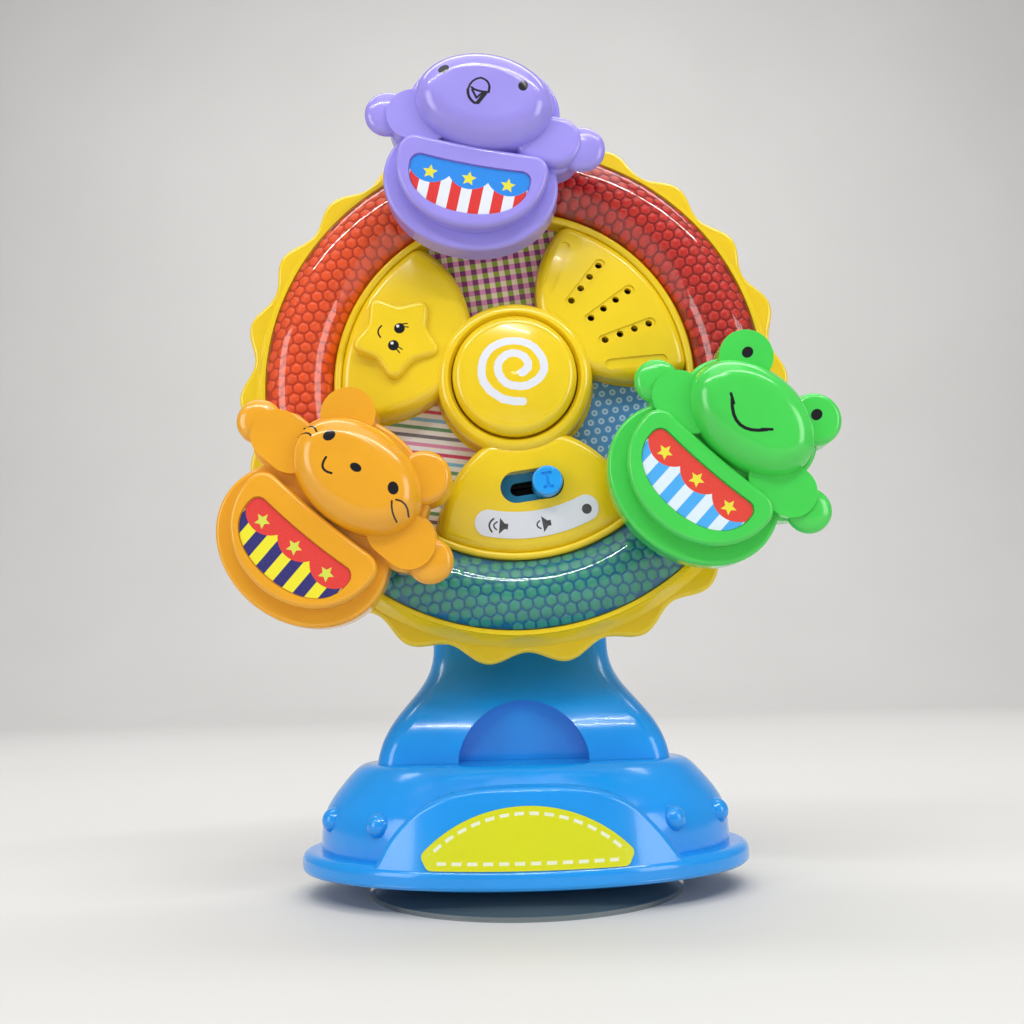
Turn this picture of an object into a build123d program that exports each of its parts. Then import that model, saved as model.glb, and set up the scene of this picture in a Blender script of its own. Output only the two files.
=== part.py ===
from build123d import *
from math import asin, cos, degrees, pi, radians, sin
import os

# Suction-cup ferris wheel toy, in millimetres.
# Origin: centre of the suction cup's foot, on the table. +Z is up and the toy faces -Y.

os.makedirs("parts", exist_ok=True)

# ---------------------------------------------------------------- driving dimensions
HUB_Z = 148.5             # wheel axis above the table
RIM_Y = -17.0             # front face of the wheel's scalloped flange
WHEEL_TURN = 7.5          # how far the wheel stands turned, counter-clockwise from the front
FIT = 0.1                 # gap between parts of one assembly that slide together by hand
RUN = 0.05                # radial clearance of a running fit
SEAT = 0.03               # gap between shells that are screwed face to face

CUP_R = 46.0              # suction cup
CUP_EDGE = 1.3
CUP_SHOULDER_Z = 7.9
CUP_SHOULDER_R = 13.0
CUP_STUD_R = 6.0
CUP_WALL = 2.6

BASE_A = 66.0             # base lip, half width
BASE_B = 45.0             # base lip, half depth
LIP_Z0 = 7.0
LIP_Z1 = 12.8
BASE_TOP_Z = 37.0
BASE_WALL = 2.2
PLATE_Z = 8.0
PLATE_T = 2.0

SIGN_T = 0.35             # printed plate on the apron
APRON_SLOPE = 9.0

PED_BACK_Y = 26.0         # pedestal
PED_SEAM_Y = 17.0
PED_WALL = 2.4
NECK_FRONT_Y = 9.2
NECK_W = 56.0
NECK_TOP_W = 50.0

AXLE_R = 3.0
TIP_R = 84.0              # wheel: scallop tips
SCALLOPS = 22
SCALLOP_DEPTH = 3.8
FLANGE_T = 3.0
LENS_OUT_R = 74.0
LENS_IN_R = 54.0
LENS_CREST = 13.2
LENS_WALL = 1.8
LENS_OUT_H = 8.0
LENS_IN_H = 7.0
BACK_H = -24.0            # back face of the wheel, behind the rim's front face
SHELL = 2.0
FLOOR_H = 3.0             # floor of the dish between the pods
BEZEL_R = 23.0
BORE_R = 18.7
BEZEL_H = 12.4
POD_R = 52.2
POD_CREST = 10.8
BRIDGE_W = 9.0            # bridges between the lens windows carry the gondola posts
BRIDGE_H = 12.0
POST_R = 3.4
POST_TOP = 19.4

BUTTON_R = 18.3           # centre button
BUTTON_CREST = 16.6
BUTTON_TRAVEL = 2.5
KNOB_R = 4.4              # volume knob
SLOT_L = 18.5
SLOT_W = 9.2
SLOT_AT = 32.7            # slot centre, below the wheel's axis
KNOB_TRAVEL = 8.8

PIVOT_R = 65.0            # gondola pivots, from the wheel's axis
GONDOLA_BACK = 17.0
GONDOLA_FRONT = 24.0      # front of the gondola's flange
GONDOLA_WALL = 1.8
HEAD_TOP = 33.0
TRAY_TOP = 28.4

PODS = {"star": 150, "speaker": 30, "switch": 270}
BRIDGES = {"bird": 90, "cat": 210, "frog": 330}

WHEEL_AXIS = Axis((0, RIM_Y, HUB_Z), (0, -1, 0))


# ---------------------------------------------------------------- planes and helpers
def wheel_face(height, turn=0.0):
    """Plane parallel to the wheel's front, this far in front of the rim, turned with the wheel."""
    a = radians(WHEEL_TURN + turn)
    return Plane(origin=(0, RIM_Y - height, HUB_Z), x_dir=(cos(a), 0, sin(a)), z_dir=(0, -1, 0))


def wheel_section(turn=0.0):
    """Plane through the wheel's axis: x is the radius, y points at the viewer."""
    a = radians(WHEEL_TURN + turn)
    return Plane(origin=(0, RIM_Y, HUB_Z), x_dir=(cos(a), 0, sin(a)), z_dir=(sin(a), 0, -cos(a)))


def front_view(y):
    """Plane facing the viewer at this depth: x to the right, y up from the table."""
    return Plane(origin=(0, y, 0), x_dir=(1, 0, 0), z_dir=(0, -1, 0))


def polar(radius, angle):
    return (radius * cos(radians(angle)), radius * sin(radians(angle)))


def save(part, name):
    part.label = name
    export_step(part, f"parts/{name}.step")


def pan_screws(plane, places, head_r, head_h, shank_r, length):
    """Pan-head screws whose heads stand on the plane and whose shanks go down into it."""
    with BuildPart() as screws:
        for place in places:
            with BuildSketch(plane):
                with Locations(place):
                    Circle(head_r)
            extrude(amount=head_h)
            with BuildSketch(plane):
                with Locations(place):
                    Circle(shank_r)
            extrude(amount=-length)
    return screws.part


# ---------------------------------------------------------------- suction cup and base
def suction_cup():
    with BuildPart() as cup:
        with BuildSketch(Plane.XZ):
            with BuildLine():
                Polyline((CUP_R - CUP_EDGE, 0), (CUP_R, 0), (CUP_R, CUP_EDGE))
                ThreePointArc(
                    (CUP_R, CUP_EDGE),
                    (CUP_R * 0.66, CUP_SHOULDER_Z * 0.74),
                    (CUP_SHOULDER_R, CUP_SHOULDER_Z),
                )
                Polyline(
                    (CUP_SHOULDER_R, CUP_SHOULDER_Z),
                    (CUP_STUD_R, CUP_SHOULDER_Z),
                    (CUP_STUD_R, PLATE_Z + PLATE_T),
                    (0, PLATE_Z + PLATE_T),
                    (0, CUP_SHOULDER_Z - CUP_WALL),
                )
                ThreePointArc(
                    (0, CUP_SHOULDER_Z - CUP_WALL),
                    (CUP_R * 0.62, CUP_SHOULDER_Z * 0.45),
                    (CUP_R - CUP_EDGE, 0),
                )
            make_face()
        revolve(axis=Axis.Z)
        with Locations((0, 0, PLATE_Z + PLATE_T)):
            Hole(radius=CUP_SCREW_R, depth=CUP_SCREW_L)
    return cup.part


CUP_SCREW_R = 1.5
CUP_SCREW_L = 4.2
WASHER_T = 1.0

save(suction_cup(), "suction_cup")

with BuildPart() as cup_washer:
    with BuildSketch(Plane.XY.offset(PLATE_Z + PLATE_T)):
        Circle(CUP_STUD_R + 4)
        Circle(CUP_SCREW_R + FIT, mode=Mode.SUBTRACT)
    extrude(amount=WASHER_T)
save(cup_washer.part, "cup_washer")

cup_screw = pan_screws(
    Plane.XY.offset(PLATE_Z + PLATE_T + WASHER_T), [(0, 0)], 3.0, 2.2, CUP_SCREW_R, CUP_SCREW_L
)
save(cup_screw, "cup_screw")

BASE_SCREWS = [(-46, -15), (46, -15), (-46, 15), (46, 15)]
FOOT_SCREWS = [(-28, 6), (28, 6)]
SCREW_HEAD_R = 2.6
SCREW_HEAD_H = 1.6
SCREW_R = 1.3

with BuildPart() as base_plate:
    with BuildSketch(Plane.XY.offset(PLATE_Z)):
        Ellipse(BASE_A - BASE_WALL - FIT, BASE_B - BASE_WALL - FIT)
        Circle(CUP_STUD_R + FIT, mode=Mode.SUBTRACT)
        with Locations(*BASE_SCREWS):
            Circle(SCREW_R + FIT, mode=Mode.SUBTRACT)
    extrude(amount=PLATE_T)
save(base_plate.part, "base_plate")

base_screws = pan_screws(
    Plane(origin=(0, 0, PLATE_Z), z_dir=(0, 0, -1), x_dir=(1, 0, 0)),
    [(x, -y) for x, y in BASE_SCREWS], SCREW_HEAD_R, 0.9, SCREW_R, 9,
)
save(base_screws, "base_screws")

# The base body's width and depth shrink with height: (height, inset from the lip).
BODY_STEPS = [(9.0, 4.2), (20.0, 5.8), (26.5, 8.2), (31.5, 12.0), (35.3, 15.6), (37.0, 20.0)]


def base_body(inset, drop):
    """The domed body of the base, drawn in by inset and lowered by drop at its top."""
    with BuildPart() as body:
        for height, step in BODY_STEPS:
            level = LIP_Z0 - 1 if height == BODY_STEPS[0][0] and drop else height - drop
            with BuildSketch(Plane.XY.offset(level)):
                Ellipse(BASE_A - step - inset, BASE_B - step - inset)
        loft()
    return body.part


def apron_block(grow):
    """Sloping wall of the apron, before it is cut to its arched outline."""
    with BuildPart() as block:
        with BuildSketch(Plane.XY.offset(LIP_Z0 + 1)):
            Ellipse(BASE_A + grow, BASE_B + grow)
        extrude(amount=BASE_TOP_Z - LIP_Z0, taper=APRON_SLOPE)
    return block.part


APRON_TOP_Z = 32.6
APRON_SHOULDER = (27.0, 28.0)
APRON_FLANK = (38.0, 17.0)
APRON_FOOT = (47.0, 11.0)


def apron_outline():
    """Arched outline of the apron, seen from the front."""
    with BuildSketch(front_view(-BASE_B - 5)) as outline:
        with BuildLine():
            Line((-APRON_FOOT[0], LIP_Z0 + 1), (APRON_FOOT[0], LIP_Z0 + 1))
            Line((APRON_FOOT[0], LIP_Z0 + 1), APRON_FOOT)
            Spline(
                APRON_FOOT, APRON_FLANK, APRON_SHOULDER, (0, APRON_TOP_Z),
                (-APRON_SHOULDER[0], APRON_SHOULDER[1]), (-APRON_FLANK[0], APRON_FLANK[1]),
                (-APRON_FOOT[0], APRON_FOOT[1]),
                tangents=((-1, 0), (-1, 0)),
            )
            Line((-APRON_FOOT[0], APRON_FOOT[1]), (-APRON_FOOT[0], LIP_Z0 + 1))
        make_face()
    return outline.sketch


BUMP_R = 3.6
BUMP_Z = 22.0
BUMP_ANGLES = [-46.7, -20.5, 20.5, 46.7, 72.9, 107.1, 133.3, 159.5, 200.5, 226.7]


def base_apron():
    """Raised front panel that carries the name plate."""
    with BuildPart() as apron:
        extrude(apron_outline(), amount=-BASE_B)
        add(apron_block(0), mode=Mode.INTERSECT)
        ridge = apron.edges().filter_by(lambda e: e.center().Z > LIP_Z1 + 3)
        fillet(ridge, 1.6)
    return apron.part


def base_shell():
    with BuildPart() as shell:
        with BuildSketch(Plane.XY.offset(LIP_Z0)):
            Ellipse(BASE_A, BASE_B)
        extrude(amount=LIP_Z1 - LIP_Z0)
        fillet(shell.edges().group_by(Axis.Z)[-1], 2.4)
        fillet(shell.edges().group_by(Axis.Z)[0], 1.5)
        add(base_body(0, 0))
        add(base_apron())
        for angle in BUMP_ANGLES:
            a = radians(angle)
            spot = ((BASE_A - 7.4) * cos(a), (BASE_B - 7.4) * sin(a), BUMP_Z)
            with Locations(spot):
                Sphere(BUMP_R)
        add(base_body(BASE_WALL, BASE_WALL), mode=Mode.SUBTRACT)
        with BuildSketch(Plane.XY.offset(LIP_Z0)):
            Ellipse(BASE_A - BASE_WALL, BASE_B - BASE_WALL)
        extrude(amount=PLATE_Z + PLATE_T - LIP_Z0, mode=Mode.SUBTRACT)
        with BuildSketch(Plane.XY.offset(PLATE_Z + PLATE_T)):
            with Locations(*BASE_SCREWS):
                Circle(3.2)
        extrude(until=Until.NEXT)
        with BuildSketch(Plane.XY.offset(PLATE_Z + PLATE_T)):
            with Locations(*BASE_SCREWS):
                Circle(SCREW_R)
        extrude(amount=8, mode=Mode.SUBTRACT)
        with BuildSketch(Plane.XY.offset(BASE_TOP_Z - BASE_WALL - 1)):
            with Locations(*FOOT_SCREWS):
                Circle(SCREW_R + FIT)
        extrude(amount=BASE_WALL + 2, mode=Mode.SUBTRACT)
    return shell.part


save(base_shell(), "base_shell")

SIGN_W = 28.2             # half width of the name plate
SIGN_Z0 = 12.2
SIGN_SHOULDER_Z = 15.8
SIGN_Z1 = 28.0


def sign_outline():
    """Half-moon outline of the name plate: flat foot, crowned top, round corners."""
    with BuildSketch(front_view(-BASE_B - 5)) as outline:
        with BuildLine():
            Line((-SIGN_W + 2, SIGN_Z0), (SIGN_W - 2, SIGN_Z0))
            Line((SIGN_W - 2, SIGN_Z0), (SIGN_W, SIGN_SHOULDER_Z))
            ThreePointArc((SIGN_W, SIGN_SHOULDER_Z), (0, SIGN_Z1), (-SIGN_W, SIGN_SHOULDER_Z))
            Line((-SIGN_W, SIGN_SHOULDER_Z), (-SIGN_W + 2, SIGN_Z0))
        make_face()
        fillet(outline.vertices(), 1.8)
    return outline.sketch


with BuildPart() as name_plate:
    extrude(sign_outline(), amount=-BASE_B)
    add(apron_block(SIGN_T), mode=Mode.INTERSECT)
    add(apron_block(0), mode=Mode.SUBTRACT)
save(name_plate.part, "name_plate")


# ---------------------------------------------------------------- pedestal
# Horizontal sections of the pedestal's skirt: (height, half width, front y).
SKIRT = [
    (BASE_TOP_Z - 8, 45.0, -14.6), (BASE_TOP_Z, 43.3, -14.0), (43.5, 41.6, -13.2), (50.0, 38.0, -10.5),
    (57.5, 32.2, -4.5), (64.0, 28.8, 2.0), (70.0, 28.0, 6.8), (76.0, NECK_W / 2, NECK_FRONT_Y),
]
CORNER = 7.0
ARCH_W = 38.0
ARCH_SPRING_Z = 37.0
ARCH_TOP_Z = 54.5
ARCH_DEPTH_Y = -4.0
HUB_BOSS_R = 12.0
HUB_BOSS_T = 1.6
RIB_FRONT_Y = -10.9       # front of the ribs that take the foot screws, inside the skirt's wall


def pedestal_section(height, half_width, front, inset):
    """Rounded rectangle of the pedestal at this height."""
    with BuildSketch(Plane.XY.offset(height)) as section:
        with Locations((0, (front + PED_BACK_Y) / 2)):
            RectangleRounded(
                2 * (half_width - inset), PED_BACK_Y - front - 2 * inset, CORNER - inset
            )
    return section.sketch.face()


def pedestal_block(inset):
    """Skirt, neck and round head of the pedestal, drawn in by inset on every side."""
    high = SKIRT[-1]
    head_front = high[2] + inset
    with BuildPart() as block:
        loft([pedestal_section(h, w, front, inset) for h, w, front in SKIRT])
        loft(
            [
                pedestal_section(high[0], high[1], high[2], inset),
                pedestal_section(HUB_Z, NECK_TOP_W / 2, high[2], inset),
            ],
            ruled=True,
        )
        with BuildSketch(front_view(head_front)):
            with Locations((0, HUB_Z)):
                Circle(NECK_TOP_W / 2 - inset)
        extrude(amount=head_front - PED_BACK_Y + inset)
    return block.part


def arch_cut(grow):
    """Arched recess in the skirt's front, seen from the front."""
    half = ARCH_W / 2 + grow
    with BuildPart() as cut:
        with BuildSketch(front_view(ARCH_DEPTH_Y + grow)):
            with BuildLine():
                Line((-half, SKIRT[0][0]), (half, SKIRT[0][0]))
                Line((half, SKIRT[0][0]), (half, BASE_TOP_Z + 2))
                ThreePointArc(
                    (half, BASE_TOP_Z + 2), (0, ARCH_TOP_Z + grow), (-half, BASE_TOP_Z + 2)
                )
                Line((-half, BASE_TOP_Z + 2), (-half, SKIRT[0][0]))
            make_face()
        extrude(amount=20)
    return cut.part


PED_SCREWS = [(-19, 82), (19, 82), (-17, 128), (17, 128)]
SEAM = front_view(PED_SEAM_Y)


def pedestal_hollow():
    with BuildPart() as hollow:
        add(pedestal_block(PED_WALL))
        add(arch_cut(PED_WALL), mode=Mode.SUBTRACT)
    return hollow.part


def pedestal_shell():
    """Whole pedestal housing with its bosses, before it is split at the seam."""
    with BuildPart() as shell:
        add(pedestal_block(0))
        add(arch_cut(0), mode=Mode.SUBTRACT)
        add(pedestal_hollow(), mode=Mode.SUBTRACT)
        with BuildSketch(front_view(NECK_FRONT_Y - HUB_BOSS_T)):
            with Locations((0, HUB_Z)):
                Circle(HUB_BOSS_R)
        extrude(amount=-HUB_BOSS_T - PED_WALL / 2)
        with BuildSketch(front_view(NECK_FRONT_Y + PED_WALL / 2)):
            with Locations((0, HUB_Z)):
                Circle(AXLE_R + 4)
            with Locations(*PED_SCREWS):
                Circle(3.4)
        extrude(amount=NECK_FRONT_Y - PED_BACK_Y + PED_WALL)
        with BuildSketch(Plane.XY.offset(BASE_TOP_Z)):
            with Locations(*[(x, (PED_SEAM_Y + RIB_FRONT_Y) / 2) for x, y in FOOT_SCREWS]):
                Rectangle(9, PED_SEAM_Y - RIB_FRONT_Y)
        extrude(amount=9)
        add(base_body(-SEAT, -SEAT), mode=Mode.SUBTRACT)
    return shell.part


PED_SHELL = pedestal_shell()

with BuildPart() as pedestal_front:
    add(PED_SHELL)
    split(bisect_by=SEAM, keep=Keep.TOP)
    with BuildSketch(front_view(NECK_FRONT_Y - HUB_BOSS_T)):
        with Locations((0, HUB_Z)):
            Circle(AXLE_R)
    extrude(amount=-PED_BACK_Y, mode=Mode.SUBTRACT)
    with BuildSketch(SEAM):
        with Locations(*PED_SCREWS):
            Circle(SCREW_R)
    extrude(amount=7, mode=Mode.SUBTRACT)
    with BuildSketch(Plane.XY.offset(BASE_TOP_Z)):
        with Locations(*FOOT_SCREWS):
            Circle(SCREW_R)
    extrude(amount=8, mode=Mode.SUBTRACT)
save(pedestal_front.part, "pedestal_front")

AXLE_HEAD_R = 5.5
AXLE_HEAD_T = 2.0
AXLE_BACK_Y = PED_BACK_Y - PED_WALL

with BuildPart() as pedestal_rear:
    add(PED_SHELL)
    split(bisect_by=SEAM, keep=Keep.BOTTOM)
    with BuildSketch(front_view(AXLE_BACK_Y)):
        with Locations((0, HUB_Z)):
            Circle(AXLE_HEAD_R + FIT)
    extrude(amount=AXLE_HEAD_T, mode=Mode.SUBTRACT)
    with BuildSketch(front_view(AXLE_BACK_Y)):
        with Locations((0, HUB_Z)):
            Circle(AXLE_R)
    extrude(amount=AXLE_BACK_Y - PED_SEAM_Y, mode=Mode.SUBTRACT)
    with Locations(*[Location(Vector(x, PED_BACK_Y, z), (-90, 0, 0)) for x, z in PED_SCREWS]):
        CounterBoreHole(
            radius=SCREW_R + FIT, counter_bore_radius=SCREW_HEAD_R + 0.3,
            counter_bore_depth=4.0, depth=PED_BACK_Y - PED_SEAM_Y,
        )
save(pedestal_rear.part, "pedestal_rear")

pedestal_screws = pan_screws(
    Plane(origin=(0, PED_BACK_Y - 4.0, 0), x_dir=(-1, 0, 0), z_dir=(0, 1, 0)),
    [(-x, z) for x, z in PED_SCREWS], SCREW_HEAD_R, SCREW_HEAD_H, SCREW_R, 11.5,
)
save(pedestal_screws, "pedestal_screws")

foot_screws = pan_screws(
    Plane(origin=(0, 0, BASE_TOP_Z - BASE_WALL), z_dir=(0, 0, -1), x_dir=(1, 0, 0)),
    [(x, -y) for x, y in FOOT_SCREWS], SCREW_HEAD_R, SCREW_HEAD_H, SCREW_R, 9,
)
save(foot_screws, "foot_screws")

HUB_TOP = -13.0           # front end of the wheel's hub tube
AXLE_SCREW_R = 1.5
AXLE_SCREW_L = 8.0

with BuildPart() as axle:
    with BuildSketch(front_view(AXLE_BACK_Y)):
        with Locations((0, HUB_Z)):
            Circle(AXLE_HEAD_R)
    extrude(amount=AXLE_HEAD_T)
    with BuildSketch(front_view(AXLE_BACK_Y)):
        with Locations((0, HUB_Z)):
            Circle(AXLE_R)
    extrude(amount=AXLE_BACK_Y - RIM_Y + HUB_TOP + FIT)
    chamfer(axle.edges().sort_by(Axis.Y)[0], 0.4)
    with BuildSketch(wheel_face(HUB_TOP + FIT)):
        Circle(AXLE_SCREW_R)
    extrude(amount=-AXLE_SCREW_L, mode=Mode.SUBTRACT)
save(axle.part, "axle")

with BuildPart() as axle_washer:
    with BuildSketch(wheel_face(HUB_TOP + FIT)):
        Circle(AXLE_R + 4)
        Circle(AXLE_SCREW_R + FIT, mode=Mode.SUBTRACT)
    extrude(amount=WASHER_T)
save(axle_washer.part, "axle_washer")

axle_screw = pan_screws(
    wheel_face(HUB_TOP + FIT + WASHER_T), [(0, 0)], 3.0, 2.0, AXLE_SCREW_R, AXLE_SCREW_L
)
save(axle_screw, "axle_screw")

# ---------------------------------------------------------------- wheel: front shell
def scallop_outline(radius, depth):
    """Smooth wavy circle, one wave to each scallop."""
    count = 6 * SCALLOPS
    mid = radius - depth / 2
    with BuildSketch(wheel_face(-FLANGE_T)) as outline:
        with BuildLine():
            Spline(
                *[
                    polar(mid + depth / 2 * cos(2 * pi * k / 6), 360 * k / count + SCALLOP_TURN)
                    for k in range(count)
                ],
                periodic=True,
            )
        make_face()
    return outline.sketch


SCALLOP_TURN = 10.1       # a tip stands here, from the wheel's own right-hand side
GROOVE_R = 79.0
STEP_R = 75.4
LENS_FIT = 0.15
SEAM_H = -3.0             # front and rear shells meet here
DISH_R = LENS_IN_R - LENS_FIT
DISH_EDGE = 2.2           # thickness of the dish's raised edge


def rim_ring():
    """Scalloped flange with the groove and the step that frame the lenses."""
    with BuildPart() as ring:
        extrude(scallop_outline(TIP_R, SCALLOP_DEPTH), amount=FLANGE_T)
        fillet(ring.edges().group_by(Axis.Y)[0], 1.2)
        with BuildSketch(wheel_section()):
            with BuildLine():
                Line((LENS_OUT_R - 1, SEAM_H), (LENS_OUT_R - 1, LENS_OUT_H))
                Line((LENS_OUT_R - 1, LENS_OUT_H), (STEP_R, LENS_OUT_H))
                ThreePointArc((STEP_R, LENS_OUT_H), (76.6, 2.9), (GROOVE_R, -0.2))
                Line((GROOVE_R, -0.2), (GROOVE_R, SEAM_H))
                Line((GROOVE_R, SEAM_H), (LENS_OUT_R - 1, SEAM_H))
            make_face()
        revolve(axis=WHEEL_AXIS)
        with BuildSketch(wheel_face(SEAM_H - 1)):
            Circle(LENS_OUT_R + LENS_FIT)
        extrude(amount=LENS_OUT_H + 10, mode=Mode.SUBTRACT)
    return ring.part


def dish():
    """Dish inside the lenses: raised edge, floor and the bezel round the centre button."""
    with BuildPart() as plate:
        with BuildSketch(wheel_section()):
            with BuildLine():
                Polyline(
                    (BORE_R, FLOOR_H - SHELL), (BORE_R, BEZEL_H - 1.6), (BORE_R + 0.9, BEZEL_H)
                )
                ThreePointArc(
                    (BORE_R + 0.9, BEZEL_H), (BEZEL_R - 1.2, BEZEL_H - 0.7), (BEZEL_R, BEZEL_H - 3)
                )
                Polyline(
                    (BEZEL_R, BEZEL_H - 3), (BEZEL_R, FLOOR_H), (DISH_R - DISH_EDGE, FLOOR_H),
                    (DISH_R - DISH_EDGE, LENS_IN_H),
                )
                ThreePointArc(
                    (DISH_R - DISH_EDGE, LENS_IN_H), (DISH_R - DISH_EDGE / 2, LENS_IN_H + 0.9),
                    (DISH_R, LENS_IN_H),
                )
                Polyline(
                    (DISH_R, LENS_IN_H), (DISH_R, 0), (DISH_R - DISH_EDGE, 0),
                    (DISH_R - DISH_EDGE, FLOOR_H - SHELL), (BORE_R, FLOOR_H - SHELL),
                )
            make_face()
        revolve(axis=WHEEL_AXIS)
    return plate.part


POD_CORNER = 4.2


def pod_outline(turn, height, inset):
    """Fan-shaped outline of a pod, centred on its turn."""
    wide = 39.2
    top = POD_R - inset
    low = 25.0 if inset > 0 else 20.0
    skew = degrees_at(inset, 38)
    with BuildSketch(wheel_face(height, turn)) as outline:
        with BuildLine():
            ThreePointArc(
                polar(low, 29 - skew), polar(37, wide - skew), polar(top, 34.5 - skew)
            )
            ThreePointArc(polar(top, 34.5 - skew), (top, 0), polar(top, skew - 34.5))
            ThreePointArc(
                polar(top, skew - 34.5), polar(37, skew - wide), polar(low, skew - 29)
            )
            ThreePointArc(polar(low, skew - 29), (low, 0), polar(low, 29 - skew))
        make_face()
        fillet(outline.vertices(), POD_CORNER - inset)
    return outline.sketch


def degrees_at(length, radius):
    return 180 * length / (pi * radius)


def pod(turn, inset):
    """One domed pod, drawn in by inset, from the dish's underside to its crown."""
    base = FLOOR_H - SHELL - (1 if inset else 0)
    with BuildPart() as dome:
        extrude(pod_outline(turn, base, inset), amount=POD_CREST + 2 - base)
        with BuildSketch(wheel_section(turn)):
            with BuildLine():
                Line((0, base), (60, base))
                Line((60, base), (60, 5.2 - inset))
                ThreePointArc(
                    (60, 5.2 - inset), (33, POD_CREST - inset), (0, POD_CREST - 1.2 - inset)
                )
                Line((0, POD_CREST - 1.2 - inset), (0, base))
            make_face()
        revolve(axis=WHEEL_AXIS, mode=Mode.INTERSECT)
        if not inset:
            top = dome.faces().sort_by(Axis.Y)[0]
            fillet(top.edges(), 3.5)
    return dome.part


def crown(turn, inset):
    """Domed solid of revolution whose top is the pods' crowned surface."""
    with BuildPart() as cap:
        with BuildSketch(wheel_section(turn)):
            with BuildLine():
                Line((0, 0), (60, 0))
                Line((60, 0), (60, 5.2 - inset))
                ThreePointArc(
                    (60, 5.2 - inset), (33, POD_CREST - inset), (0, POD_CREST - 1.2 - inset)
                )
                Line((0, POD_CREST - 1.2 - inset), (0, 0))
            make_face()
        revolve(axis=WHEEL_AXIS)
    return cap.part


BRIDGE_HALF = degrees_at(BRIDGE_W / 2, PIVOT_R)
COLLAR_R = 4.4            # shoulder behind the gondola
POST_SCREW_R = 1.1
POST_SCREW_L = 9.0


def bridge(turn):
    """Arched bridge between two lenses, with the post that carries a gondola."""
    with BuildPart() as arch:
        with BuildSketch(wheel_section(turn - BRIDGE_HALF)):
            with BuildLine():
                Polyline(
                    (DISH_R - 1, LENS_IN_H), (DISH_R - 1, 0), (LENS_OUT_R + 1, 0),
                    (LENS_OUT_R + 1, LENS_OUT_H),
                )
                ThreePointArc(
                    (LENS_OUT_R + 1, LENS_OUT_H), (PIVOT_R - 1, BRIDGE_H),
                    (DISH_R - 1, LENS_IN_H),
                )
            make_face()
        revolve(axis=WHEEL_AXIS, revolution_arc=2 * BRIDGE_HALF)
        with BuildSketch(wheel_face(0, turn)):
            with Locations((PIVOT_R, 0)):
                Circle(POST_R)
        extrude(amount=POST_TOP)
        with BuildSketch(wheel_face(0, turn)):
            with Locations((PIVOT_R, 0)):
                Circle(COLLAR_R)
        extrude(amount=GONDOLA_BACK - FIT)
        with BuildSketch(wheel_face(SEAM_H, turn)):
            with Locations((WHEEL_SCREW_AT, 0)):
                Circle(WHEEL_BOSS_R)
        extrude(amount=-SEAM_H + 1)
        with BuildSketch(wheel_face(POST_TOP, turn)):
            with Locations((PIVOT_R, 0)):
                Circle(POST_SCREW_R)
        extrude(amount=-POST_SCREW_L, mode=Mode.SUBTRACT)
        with BuildSketch(wheel_face(SEAM_H, turn)):
            with Locations((WHEEL_SCREW_AT, 0)):
                Circle(SCREW_R)
        extrude(amount=8, mode=Mode.SUBTRACT)
    return arch.part


WHEEL_SCREW_AT = 68.5
WHEEL_BOSS_R = 3.3
BOARD_BACK = -8.0         # circuit board
BOARD_T = 1.6
BOARD_R = 50.0
BOARD_SCREW_AT = 44.0
BOARD_BOSS_R = 3.0
STAR_AT = 37.0
STAR_TIP_R = 15.0
STAR_VALLEY_R = 9.3
STAR_H = 13.0
SPEAKER_AT = 37.0
SPEAKER_R = 11.5
HOLE_ROWS = [-15.6, 0.0, 15.6]
GROOVE_ROWS = [-31.0, -15.6, 0.0, 15.6, 31.0]
HOLE_RADII = [29.3, 34.2, 39.0, 43.8]
HOLE_R = 1.05


def star_relief(turn):
    """Puffy five-pointed star moulded on its pod, one point towards the hub."""
    with BuildPart() as star:
        with BuildSketch(wheel_face(FLOOR_H, turn)) as outline:
            with BuildLine():
                points = []
                for k in range(10):
                    radius = STAR_TIP_R if k % 2 else STAR_VALLEY_R
                    x, y = polar(radius, 36 * k)
                    points.append((STAR_AT + x, 1.0 + y))
                Polyline(*points, close=True)
            make_face()
            fillet(outline.vertices(), 2.6)
        extrude(amount=STAR_H - FLOOR_H)
        fillet(star.faces().sort_by(Axis.Y)[0].edges(), 1.8)
        add(crown(turn, 1.0), mode=Mode.SUBTRACT)
    return star.part


def speaker_grooves(turn):
    """Shallow grooves that follow the pod's crown, two of them blind."""
    with BuildPart() as grooves:
        for row in GROOVE_ROWS:
            with BuildSketch(wheel_face(FLOOR_H, turn + row)):
                with Locations(((HOLE_RADII[0] + HOLE_RADII[-1]) / 2, 0)):
                    SlotOverall(HOLE_RADII[-1] - HOLE_RADII[0] + 4.4, 3.2)
            extrude(amount=POD_CREST)
        add(crown(turn, 0.45), mode=Mode.SUBTRACT)
    return grooves.part


def speaker_holes(turn):
    with BuildPart() as holes:
        for row in HOLE_ROWS:
            with BuildSketch(wheel_face(FLOOR_H, turn + row)):
                with Locations(*[(radius, 0) for radius in HOLE_RADII]):
                    Circle(HOLE_R)
            extrude(amount=POD_CREST)
    return holes.part


SEAT_WALL = 1.5
SPEAKER_LEDGE_H = 4.0
SEAT_TOP_H = 6.8


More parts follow.
